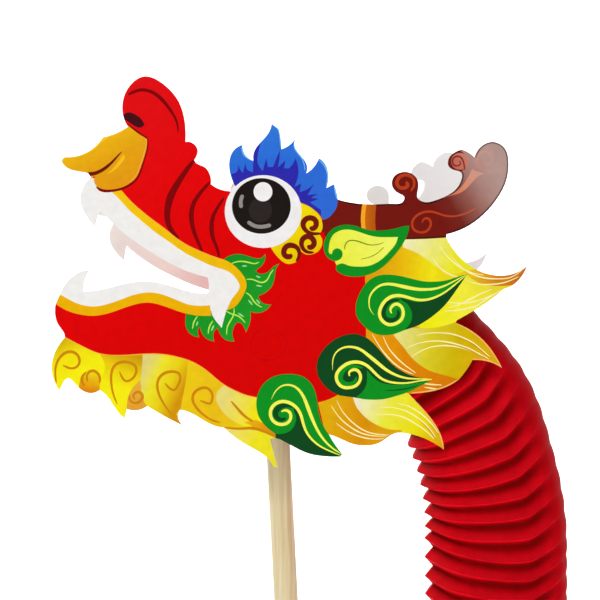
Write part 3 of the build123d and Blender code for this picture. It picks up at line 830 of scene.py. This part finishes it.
BEARD_CURLS = [
    [(-121.7, 268.3), (-122.3, 274), (-121.3, 279), (-118.5, 282.8), (-114.8, 284.2),
     (-111.5, 282.8), (-110.2, 280), (-111, 277.2), (-113.3, 275.9), (-116, 276.2),
     (-118.5, 277.5)],
    [(-106.8, 274), (-108.8, 271.5), (-108.8, 268.8), (-107.6, 267)],
    [(-106, 269), (-106.5, 272), (-104.5, 274.5), (-102.3, 274.3), (-100.3, 272),
     (-100.1, 268.5)],
    [(-91.3, 258), (-93.3, 263), (-94.3, 268.5), (-94.2, 273.5), (-92.5, 277.3), (-89, 279),
     (-85.5, 278.8), (-82.2, 276.8), (-82, 273.5), (-84.3, 270.3), (-87, 269.5), (-89, 271.5),
     (-90.2, 274.3)],
    [(-85, 262.5), (-85, 260), (-83, 258.6), (-80, 259.3), (-78.7, 261.5), (-79.5, 263.5),
     (-82, 263.8), (-83.3, 262), (-82.3, 260.3)],
    [(-64.5, 253), (-68, 258), (-70.5, 263), (-71.3, 268), (-70, 271.5), (-67, 273.7),
     (-63.5, 274.2), (-60.5, 273.2), (-59.8, 271), (-61, 267.3), (-63, 265), (-65, 265.8),
     (-67.5, 268.5)],
    [(-39.8, 248.8), (-44, 250), (-48, 252.5), (-52, 256.5), (-53.6, 260), (-53, 263.3),
     (-50, 265.7), (-46.5, 266), (-44.3, 264), (-43.8, 260.5), (-45, 258.3), (-47.5, 258.8),
     (-50, 259.8)],
    [(-34.5, 259.5), (-31, 255.5), (-27, 251.5), (-23.5, 249.3)],
    [(-38, 246.4), (-30, 245.7), (-24, 245.9), (-19, 244.7), (-14, 242.5), (-10.3, 240.7)],
]
for points in BEARD_CURLS:
    line("beard", "beard_curl", points, 0.8, 1.5, 1.0)

# ---------- head print: four scrolled leaves ----------

lay("leaf", "leaf_green", patch(
    [(17, 346), (13.8, 342.8), (12, 338.5), (12, 334.8), (13.3, 331.8), (15.5, 330),
     (17.3, 329.5)], [(18.2, 327.3)],
    [(18, 325.3), (20, 323.3), (24, 321.9), (28.5, 321.6), (33, 322.3), (38, 324.3), (42, 327),
     (46, 331), (49.5, 335.2), (52.5, 340), (54.3, 345), (54.6, 347.2)],
    [(53.5, 347.1), (48, 345.8), (42, 344.8), (36, 344.8), (31, 346), (26, 347.4), (22, 347.6)]))
lay("leaf", "leaf_pale", patch(
    [(17, 343), (15, 339.5), (14.4, 336), (14.8, 333.2), (15.8, 332.9)],
    [(16.8, 334.6), (18.5, 335.8), (20.3, 335.2), (21.3, 333.5), (20.8, 331.2), (19, 329.8),
     (17.4, 329.4)], [(18.3, 327.3)],
    [(21, 328.3), (24, 327.3), (28, 326.7), (32, 326.7), (37, 328), (41, 330.5), (45, 334.5),
     (48, 338.5), (49, 341.5)],
    [(44, 341.4), (39, 341.5), (33, 342.8), (28, 344.5), (24, 345.2), (20.8, 345)]))
lay("leaf", "leaf_green", disc((18.6, 333.3), 2.5, 2.5))
line("leaf", "leaf_thin", [(22.4, 335), (22.6, 337.5), (24, 339.3), (26.5, 339.8), (30, 339),
     (34, 337.7), (38, 337.6), (42, 338.8)], 0.5, 0.6, 0.3)
line("leaf", "leaf_thin", [(30.5, 330.4), (34, 331.2), (38, 333), (42, 336.5)], 0.3, 0.4, 0.3)

lay("leaf", "leaf_green", patch(
    [(80, 322), (75, 320.3), (68, 319.2), (62, 319.3), (56, 320.6), (50, 322), (44, 322.7),
     (38.5, 322), (34, 319.3), (31, 315.5), (28.6, 310.5), (27.8, 306), (28.5, 301.5),
     (31, 298), (34.5, 294.8), (38, 293), (42.5, 292.4), (47, 293), (52, 294.8), (57, 296.5),
     (62, 299), (67, 302.5), (72, 307), (76, 312), (79.5, 317), (82, 320.5), (83.5, 322.8)]))
lay("leaf", "leaf_dark", patch(
    [(50, 310.8), (54, 310), (58, 309), (62, 309.3), (68, 311), (73, 313.8), (78, 318),
     (83, 322.3)], [(79.5, 317), (76, 312), (72, 307), (67, 302.5), (62, 299), (57, 296.5),
     (52.5, 295.5)], [(54.8, 298), (56, 301.5), (55.5, 305), (53.5, 308.3)]))
line("leaf", "leaf_dark", [(50, 310), (46.5, 309.7), (43.5, 308), (41.8, 305), (41.7, 302),
     (43.3, 300.3), (46, 299.9), (48.2, 300.9), (49.2, 303), (48.8, 305.2)], 1.0, 2.8, 1.4)
line("leaf", "leaf_line", [(37, 302.5), (35, 305.5), (34.5, 309), (35, 312), (37, 315),
     (40, 317.2), (44, 318), (49, 317.3), (54, 316.2), (59, 315.4), (64, 315.3), (69, 316),
     (74, 317.9), (79, 320.5), (83, 322.6)], 0.3, 1.8, 0.3)
line("leaf", "leaf_line", [(83, 322.3), (79, 319), (74, 315), (69, 312), (64, 310.3), (60, 310),
     (55, 311), (50, 312.2), (46, 311.8), (42.5, 309.5), (40.3, 306), (39.8, 302.5),
     (41.3, 299.5), (44.5, 297.7), (48, 298.3), (50.8, 300.5), (51.6, 303.8), (50.5, 306.8),
     (48, 308), (46, 306.8), (45.2, 304.8), (45.8, 303.4)], 0.5, 1.7, 1.5)

lay("leaf", "leaf_dark", patch(
    [(60, 271.2), (55, 272.5), (50, 275), (45.5, 278.5), (41.5, 283), (38, 287), (34, 290.6),
     (30, 292.6), (26.5, 293.1), (21, 292), (16, 289.3), (11.5, 285), (9, 280.5), (8.3, 276),
     (9.3, 271.5), (12, 267.5), (16, 264), (20, 262.3), (25, 261.6), (30, 260.8), (36, 260.2),
     (42, 260.5), (48, 262), (54, 264), (60, 267), (66.2, 270.3)]))
lay("leaf", "leaf_green", patch(
    [(36.5, 271.5), (40, 269), (45, 267.8), (50, 267.6), (58, 268.5), (66, 270.2)],
    [(60, 267.2), (54, 264), (48, 262), (42, 260.5), (36, 260.2), (30, 260.8), (28, 261.5)],
    [(31.5, 264.5), (33.3, 268.5), (33.5, 272), (33.5, 275)]))
line("leaf", "leaf_dark", [(42, 264.8), (48, 265), (54, 265.9), (59, 267.4)], 0.3, 0.7, 0.3)
line("leaf", "leaf_green", [(31.5, 276), (27.5, 276.9), (23.5, 276.2), (20.8, 273.8), (20.2, 270.6),
     (21.8, 268.6), (24.5, 268), (27.2, 269.2), (28.4, 271.6)], 1.0, 2.8, 1.2)
line("leaf", "leaf_line", [(16.3, 275), (16.3, 279), (17.5, 283), (20.5, 285.7), (25, 286.6),
     (29.5, 285.6), (34, 282.5), (38.5, 278.8), (43, 275.2), (48, 272.5), (53, 271),
     (59, 270.6), (66, 270.4)], 0.3, 1.8, 0.4)
line("leaf", "leaf_line", [(66, 270.2), (60, 269.6), (54, 268.6), (49, 268.5), (44, 269.3),
     (40, 271.2), (36.5, 274.5), (33, 277.5), (28.5, 279), (24, 278.3), (20.5, 276),
     (18.3, 272.8), (18.6, 269.3), (20.8, 266.8), (24.5, 266.2), (28, 267.3), (30, 270),
     (30, 273), (28.3, 275), (26, 275), (24.5, 273.6), (24.8, 272)], 0.5, 1.7, 1.5)

lay("leaf", "leaf_green", patch(
    [(12, 246.5), (10.3, 250.5), (9.2, 255), (8.5, 260), (7.3, 265), (5, 269), (1.5, 271.7),
     (-3, 272.9), (-8, 272.9), (-13, 271.8), (-17, 269.3), (-20, 265.5), (-21.7, 260.5),
     (-21.7, 256), (-20.7, 252), (-18.5, 248.5), (-15.5, 245.5), (-12.2, 243)],
    [(-10, 240.4)], [(-10, 234)], [(20, 226)], [(24, 233)], [(17.4, 238.7), (14.4, 242.8)]))
lay("leaf", "leaf_dark", patch(
    [(0, 253), (1.5, 248), (3.5, 243), (8, 238.5), (13, 236), (19, 233.3)], [(22, 230)],
    [(4, 230)], [(-12, 238)], [(-12.3, 243)], [(-8, 243.3), (-4.5, 245), (-2.5, 248),
     (-2, 251.5), (-3, 255), (-3, 257)]))
line("leaf", "leaf_dark", [(-3, 256.4), (-7, 257.2), (-10.8, 256), (-12.2, 253.5), (-11.4, 251.2),
     (-9.4, 250.2), (-7, 251)], 1.0, 3.0, 1.4)
line("leaf", "leaf_line", [(-14.3, 260.3), (-12.5, 264), (-9.5, 266.8), (-6, 267.6),
     (-2, 266.3), (1, 263), (3, 258.8), (4.8, 254), (6.8, 249), (9.3, 244), (12.5, 239.5),
     (16.5, 235.8), (20.5, 233.2)], 0.3, 1.8, 0.6)
line("leaf", "leaf_line", [(20.3, 232.3), (15, 234.5), (10, 237), (6, 240.3), (3, 244.5),
     (1.3, 249.5), (-0.5, 254.5), (-4, 258), (-8, 259.3), (-12, 258.3), (-14.5, 255.3),
     (-14.5, 251.5), (-12.5, 248.8), (-9, 247.8), (-6, 248.8), (-4.6, 251.5), (-5.3, 254),
     (-7.5, 254.9), (-9.3, 254.2)], 0.5, 1.7, 1.5)

# ---------- print on both head cards ----------

left_face_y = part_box("left_head_card")[0].y / MM
right_face_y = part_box("right_head_card")[1].y / MM
skew = radians(HEAD_SKEW)
SKEW_TURN = np.array([[cos(skew), sin(skew)], [-sin(skew), cos(skew)]])
points, tris, top = arrange(card_outline("left_head_card", left_face_y), head_layers)
film("left_print", points, tris, top, head_layers, lambda p: p, (-1, left_face_y), "head")
film("right_print", points, tris, top, head_layers,
     lambda p: (p - SKEW_CENTRE) @ SKEW_TURN + SKEW_CENTRE, (1, right_face_y), "head")

# ---------- tail print ----------

ink("tail_flame", [(214, 8, 12), (226, 60, 10), (240, 150, 12), (244, 214, 20), (246, 236, 60)],
    (-30, 0), (150, 0))
ink("tail_root", [(226, 2, 8), (200, 0, 8)], (-30, 0), (60, 0))

along = radians(TAIL_HEADING)
TAIL_TURN = np.array([[cos(along), sin(along)], [-sin(along), cos(along)]])


def to_tail(points):
    """Tail drawings run along the body's end and across it; this turns them to X and Z."""
    return np.asarray(points) @ TAIL_TURN + TAIL_POINT


def from_tail(points):
    """X and Z back to distances along and across the body's end."""
    return (np.asarray(points) - TAIL_POINT) @ TAIL_TURN.T


tail_layers = []


def lay_tail(name, shapes):
    """Lays one ink over what is already printed on the tail."""
    tail_layers.append(("tail", name, shapes))


lay_tail("tail_flame", [np.array([(-60, -80), (180, -80), (180, 80), (-60, 80)], float)])
TAIL_FLAMES = [
    [(6, 34), (20, 38), (30, 44), (37, 53)],
    [(36, 30), (52, 33), (68, 38), (80, 46)],
    [(66, 20), (84, 20.5), (99, 23.5), (113, 29.5)],
    [(82, -2), (104, 1), (126, -1), (148, -4)],
    [(86, -8), (106, -5), (126, -5), (144, -5.5)],
    [(84, -18), (98, -20), (107, -26), (114, -34)],
    [(50, -30), (66, -33), (75, -42), (79, -50)],
    [(0, -36), (16, -41), (28, -49), (35, -57)],
]
for points_along in TAIL_FLAMES:
    lay_tail("mane_line", stroke(points_along, 0.4, 1.1, 0.4))
    shifted = [(u - 3, v - np.sign(v) * 2.4) for u, v in points_along]
    lay_tail("mane_line", stroke(shifted, 0.3, 0.8, 0.3))
lay_tail("warm_edge", patch(
    [(-40, -40)], [(-16, -33.6), (2, -27.6), (16, -19.6), (28, -7.6), (46, 0), (28, 7.6),
     (16, 19.6), (2, 27.6), (-16, 33.6)], [(-40, 40)]))
lay_tail("tail_root", patch(
    [(-40, -40)], [(-16, -32), (2, -26), (16, -18), (28, -6), (44, 0), (28, 6), (16, 18),
     (2, 26), (-16, 32)], [(-40, 40)]))
for flip in (1, -1):
    def mirrored(run):
        return [(u, v * flip) for u, v in run]
    lay_tail("leaf_green", patch(
        mirrored([(66, 21), (52, 26), (38, 27), (26, 22), (22, 13), (27, 5), (37, 3),
                  (48, 7), (58, 14), (72, 17)]), mirrored([(78, 20.5)])))
    lay_tail("leaf_dark", patch(
        mirrored([(44, 8), (52, 12.5), (60, 16.5), (70, 18.5)]), mirrored([(77, 20.2)]),
        mirrored([(72, 17), (58, 14), (48, 7), (37, 3)])))
    lay_tail("leaf_line", stroke(mirrored(
        [(28, 15), (31, 20.5), (38, 23.6), (48, 22.6), (58, 20.2), (68, 19.6), (77, 20.4)]),
        0.3, 1.7, 0.4))
    lay_tail("leaf_line", stroke(mirrored(
        [(76, 20), (64, 17.6), (52, 17.4), (43, 18.4), (36, 17.6), (31.6, 13.4), (32, 8.8),
         (36, 6.8), (40.4, 8.6), (41, 12.6), (38, 14.2), (36, 12)]), 0.5, 1.6, 1.4))
for points_along in ([(-20, 26), (-8, 22), (2, 13), (0, 5), (-8, 3), (-12, 8), (-8, 12)],
                     [(-20, -26), (-8, -22), (2, -13), (0, -5), (-8, -3), (-12, -8), (-8, -12)]):
    lay_tail("lip", stroke(points_along, 0.6, 2.0, 1.4))

tail_left_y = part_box("left_tail_card")[0].y / MM
tail_right_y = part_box("right_tail_card")[1].y / MM
tail_edge = anticlockwise(from_tail(card_outline("left_tail_card", tail_left_y)))
points, tris, top = arrange(tail_edge, tail_layers)
film("left_print", points, tris, top, tail_layers, to_tail, (-1, tail_left_y), "tail")
film("right_print", points, tris, top, tail_layers, to_tail, (1, tail_right_y), "tail")

# ---------- pleated body ----------

def body_path():
    """Every section of the body: its start point, heading, length and turn in radians."""
    sections = []
    point, heading = np.array(NECK_POINT), radians(NECK_HEADING)
    for length, turn, count in BENDS:
        for _ in range(count):
            sections.append((point, heading, length, radians(turn)))
            point = along_section(sections[-1], 1.0)
            heading += radians(turn)
    return sections


def along_section(section, u):
    """The point a share u along a section: start plus the integral of (cos h, sin h)."""
    point, heading, length, turn = section
    if turn == 0:
        return point + np.array([cos(heading), sin(heading)]) * length * u
    after = heading + turn * u
    return point + np.array([sin(after) - sin(heading), cos(heading) - cos(after)]) * length / turn


def along_body(travel):
    """Points and headings at distances along the body."""
    number = np.clip(np.searchsorted(SECTION_ENDS, travel, side="right") - 1, 0, SECTION_COUNT - 1)
    share = (travel - SECTION_ENDS[number]) / np.diff(SECTION_ENDS)[number]
    points = np.array([along_section(sections[n], u) for n, u in zip(number, share)])
    headings = np.array([sections[n][1] + sections[n][3] * u for n, u in zip(number, share)])
    return points, headings


def blend_in(low, high, value):
    """0 below low and 1 above high, with a smooth rise between."""
    t = np.clip((value - low) / (high - low), 0, 1)
    return t * t * (3 - 2 * t)


sections = body_path()
SECTION_COUNT = len(sections)
SECTION_ENDS = np.cumsum([0] + [section[2] for section in sections])
PITCH = SECTION_ENDS[-1] / PLEAT_COUNT
round_angle = np.linspace(0, 2 * pi, ROUND_COLUMNS, endpoint=False)
dice = np.random.default_rng(WOBBLE_SEED)
waves = np.arange(1, WAVES_ROUND + 1)[None, :, None]
swing = dice.normal(0, 1, (PLEAT_COUNT + 2, WAVES_ROUND, 1)) / waves ** WAVE_FALL
phase = dice.uniform(0, 2 * pi, (PLEAT_COUNT + 2, WAVES_ROUND, 1))
CREST_DRIFT = np.sum(swing * np.cos(waves * round_angle + phase), axis=1) * CREST_WANDER
DEPTH_NOISE = np.sum(swing[::-1] * np.cos(waves * round_angle + phase[::-1]), axis=1)


def inner_side(travel):
    """+1 where the body bends to its left, -1 to its right, eased where it changes over."""
    turns = np.array([np.sign(section[3]) for section in sections])
    centres = (SECTION_ENDS[1:] + SECTION_ENDS[:-1]) / 2
    bent = turns != 0
    into_drop = np.argmin(bent)
    places = np.append(centres[bent], SECTION_ENDS[into_drop + 1])
    sides = np.append(turns[bent], turns[0])
    order = np.argsort(places)
    return np.interp(travel, places[order], sides[order])


def pleated_rows(first, last):
    """Rings of points from one crest to another. With f from 0 at a crest to 1 at the next,
    and a valley at f = v, the radius is R plus the corner and the bulge, less a shallow wave,
    less depth (1 - (1 - g)^p), where g rises from 0 at the crests to 1 at the valley.
    On the inner side of a bend the fold is a deep even V (v = 0.5, p near 1) and R comes to a
    blunt corner, whose tips stand out by a share of R that changes along the tube. Round to
    the outer side the crests lift back towards the head and fade into the wave, which keeps
    the even spacing. The bulge is a cosine squared along the tube, widest on the outer side.
    The shade is painted shadow for the paper's colour: the fold's depth, eased on the flank
    that faces up, plus a share for the outer side and a share near the head."""
    t = np.linspace(0, 1, ROWS_PER_PLEAT, endpoint=False)
    steps = (np.arange(first, last)[:, None] + (1 - np.cos(pi * t)) / 2).ravel()
    steps = np.append(steps, last)
    crest = np.minimum(np.floor(steps + 1e-9).astype(int), last - 1)
    f = np.clip(steps - crest, 0, 1)[:, None]
    travel = steps * PITCH
    middle, heading = along_body(travel)
    inward = np.cos(round_angle)[None, :] * inner_side(travel)[:, None]
    share = (1 + inward) / 2
    lean = VALLEY_LEAN * (1 - blend_in(*LEAN_FADES, share)) * np.sin(heading)[:, None]
    valley = 0.5 + lean
    g = np.where(f < valley, f / valley, (1 - f) / (1 - valley))
    power = FOLD_POWER - POWER_DROP * blend_in(*POWER_FADES, share)
    sharp = 1 - np.clip(1 - g, 0, 1) ** power
    ends = blend_in(0, LIFT_FADE, steps) * blend_in(0, LIFT_FADE, PLEAT_COUNT - steps)
    lift = CREST_LIFT * (1 - blend_in(*LIFT_FADES, share)) * ends[:, None]
    drift = CREST_DRIFT[crest] * (1 - f) + CREST_DRIFT[crest + 1] * f - lift
    wave = 1 - np.abs(np.cos(pi * (f - lift / PITCH))) ** WAVE_POWER
    sharpness = blend_in(*FOLDS_START, share)
    rough = DEPTH_NOISE[crest] * (1 - f) + DEPTH_NOISE[crest + 1] * f
    depth = FRONT_DEPTH + (INNER_DEPTH - FRONT_DEPTH) * blend_in(*DEPTH_GROWS, share)
    fold = sharp * sharpness
    shallow = OUTER_DEPTH * wave * (1 - sharpness)
    from_inside = np.arccos(np.clip(inward, -1, 1))
    tip = np.interp(travel, CORNER_TRAVEL, CORNER_TIPS)[:, None]
    corner = (CORNER_CUT + tip) * np.exp(-from_inside / CORNER_ANGLE) - CORNER_CUT
    near_bulge = np.cos(np.clip((travel - BULGE_TRAVEL) / BULGE_HALF, -1, 1) * pi / 2) ** 2
    bulge = NECK_BULGE * near_bulge[:, None] * (1 - blend_in(*BULGE_FADES, share))
    radius = (BODY_RADIUS * (1 + corner * share) + bulge - shallow
              - depth * (1 + DEPTH_VARIES * rough) * fold)
    # The shade below is painted shadow, not a colour of the paper.
    downhill = np.where(np.sin(heading)[:, None] < 0, f, 1 - f)
    near_head = 1 - blend_in(*NECK_SHADOW_TRAVEL, travel)[:, None]
    shade = sharp * sharpness * (1 - LIT_FLANK_EASE * blend_in(*LIT_FLANK, downhill))
    shade = shade + OUTER_SHADOW * (1 - sharpness) + NECK_SHADOW * near_head
    return middle, heading, radius, drift, shade


def pleated_piece(name, first, last, body=None):
    """A closed tube wall from one crest to another, PAPER thick."""
    middle, heading, radius, drift, shade = pleated_rows(first, last)
    forward = np.stack([np.cos(heading), np.sin(heading)], 1)
    leftward = np.stack([-np.sin(heading), np.cos(heading)], 1)
    shells = []
    for wall in (0.0, PAPER):
        out = radius - wall
        xz = (middle[:, None, :] + leftward[:, None, :] * (out * np.cos(round_angle))[..., None]
              + forward[:, None, :] * drift[..., None])
        shells.append(np.stack([xz[..., 0], out * np.sin(round_angle), xz[..., 1]], -1))
    rows, columns = radius.shape
    grid = np.arange(rows * columns).reshape(rows, columns)
    near, far = grid[:-1], grid[1:]
    outside = np.stack([near, far, np.roll(far, -1, 1), np.roll(near, -1, 1)], -1).reshape(-1, 4)
    inside = outside[:, ::-1] + rows * columns
    lips = []
    for edge, flip in ((grid[0], 1), (grid[-1], -1)):
        beside = np.roll(edge, -1)
        lip = np.stack([edge, beside, beside + rows * columns, edge + rows * columns], 1)
        lips.append(lip[:, ::flip])
    faces = np.concatenate([outside, inside, *lips])
    vertices = np.concatenate([shell.reshape(-1, 3) for shell in shells]) * MM
    piece = new_piece(name, vertices, faces.tolist(), [PLEATED])
    piece.data.shade_smooth()
    piece.data.set_sharp_from_angle(angle=radians(CREASE_ANGLE))
    # The fold attribute carries the painted shadow worked out in pleated_rows.
    crease = piece.data.attributes.new("fold", "FLOAT", "POINT")
    crease.data.foreach_set("value", np.tile(shade.ravel(), 2).astype(np.float32))
    piece.data.update()
    if body:
        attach(piece, body)
    else:
        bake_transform(piece)
    return piece


PLEATED = pleated_paper()
cuts = np.rint((SECTION_ENDS[1:] + SECTION_ENDS[:-1]) / 2 / PITCH).astype(int)
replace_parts(pleated_piece("pleats_neck", 0, cuts[0], body="head"), "bellows_01")
for number in range(SECTION_COUNT - 1):
    piece = pleated_piece(f"pleats_{number + 1:02d}", cuts[number], cuts[number + 1])
    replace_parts(piece, f"bellows_{number + 2:02d}")
pleated_piece("pleats_tail", cuts[-1], PLEAT_COUNT, body="tail")

# ---------- finishes of the CAD parts ----------

def finish_node(node, material):
    """Gives a CAD part one finish."""
    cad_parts[node].data.materials.clear()
    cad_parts[node].data.materials.append(material)


WOOD = stick_wood()
# The pink near the corner of the mouth is a painted reflection of light thrown back by the
# red print, and the beige beyond it is painted shade on the card's inner face.
MOUTH_CORNER = (-0.048, 0.038, 0.318)
PINK_REACH = 0.13
WHITE_CARD = plain_card("white_card", [(252, 196, 196), (246, 220, 214), (240, 226, 220),
                                       (250, 246, 244), (253, 251, 250)], MOUTH_CORNER,
                        PINK_REACH)
FOLDED_CARD = plain_card("folded_card", [(236, 230, 220), (248, 245, 240)])
for node in ("head_stick", "tail_stick"):
    finish_node(node, WOOD)
for node in ("left_head_card", "right_head_card", "left_tail_card", "right_tail_card"):
    finish_node(node, WHITE_CARD)
for node in ("head_bridge", "tail_bridge", "neck_disc", "tail_disc"):
    finish_node(node, FOLDED_CARD)

# ---------- studio ----------

def studio_white():
    """White backdrop paper that glows, so that it stays white in shade."""
    recipe = Recipe("studio_white")
    place = recipe.node("ShaderNodeTexCoord").outputs["Object"]
    shade = recipe.ramp(recipe.noise(place, 3.0), [(0.3, (250, 250, 250)), (0.7, (252, 252, 252))])
    recipe.put(recipe.shader.inputs["Emission Color"], (1.0, 1.0, 1.0, 1.0))
    recipe.put(recipe.shader.inputs["Emission Strength"], 0.85)
    return recipe.shade(colour=shade, roughness=0.9, gloss=0.1)


FLOOR_DROP = 0.12


def cyclorama():
    """A floor that turns up into a wall: a profile of a flat run, a quarter round and a wall."""
    turn = np.linspace(-pi / 2, 0, 24)
    y = np.concatenate([[-3.0], 1.6 + 0.8 * np.cos(turn), [2.4]])
    z = np.concatenate([[0.0], 0.8 + 0.8 * np.sin(turn), [4.0]]) - FLOOR_DROP
    left = np.stack([np.full_like(y, -4.0), y, z], 1)
    right = left * (-1, 1, 1)
    n = len(y)
    i = np.arange(n - 1)
    faces = np.stack([i, i + n, i + n + 1, i + 1], 1)
    sweep = new_piece("studio_sweep", np.concatenate([left, right]), faces.tolist(),
                      [studio_white()])
    sweep.data.shade_smooth()


def soft_light(name, place, aim, size, power):
    """A round white area light at a place, turned to a point."""
    lamp = bpy.data.lights.new(name, "AREA")
    lamp.shape = "DISK"
    lamp.size = size
    lamp.energy = power
    holder = bpy.data.objects.new(name, lamp)
    holder.location = place
    direction = Vector(aim) - Vector(place)
    holder.rotation_euler = direction.to_track_quat("-Z", "Y").to_euler()
    bpy.context.scene.collection.objects.link(holder)


cyclorama()
CENTRE = (0.05, 0.0, 0.30)
soft_light("key", (-0.5, -0.9, 1.35), CENTRE, 0.6, 6.0)
soft_light("fill", (0.7, -1.3, 0.5), CENTRE, 1.0, 1.75)
soft_light("top", (0.1, 0.1, 1.5), CENTRE, 0.6, 2.6)

world = bpy.data.worlds.new("studio")
world.use_nodes = True
world.node_tree.nodes["Background"].inputs["Color"].default_value = (1, 1, 1, 1)
world.node_tree.nodes["Background"].inputs["Strength"].default_value = 0.22
bpy.context.scene.world = world
bpy.context.scene.view_settings.view_transform = "Standard"

camera = bpy.data.objects.new("camera", bpy.data.cameras.new("camera"))
camera.location = (0.0, -0.4275, 0.310)
camera.rotation_euler = (pi / 2, 0, 0)
camera.data.lens = 46.7
camera.data.sensor_width = 36.0
camera.data.clip_start = 0.01
bpy.context.scene.collection.objects.link(camera)
bpy.context.scene.camera = camera

bpy.context.view_layer.update()
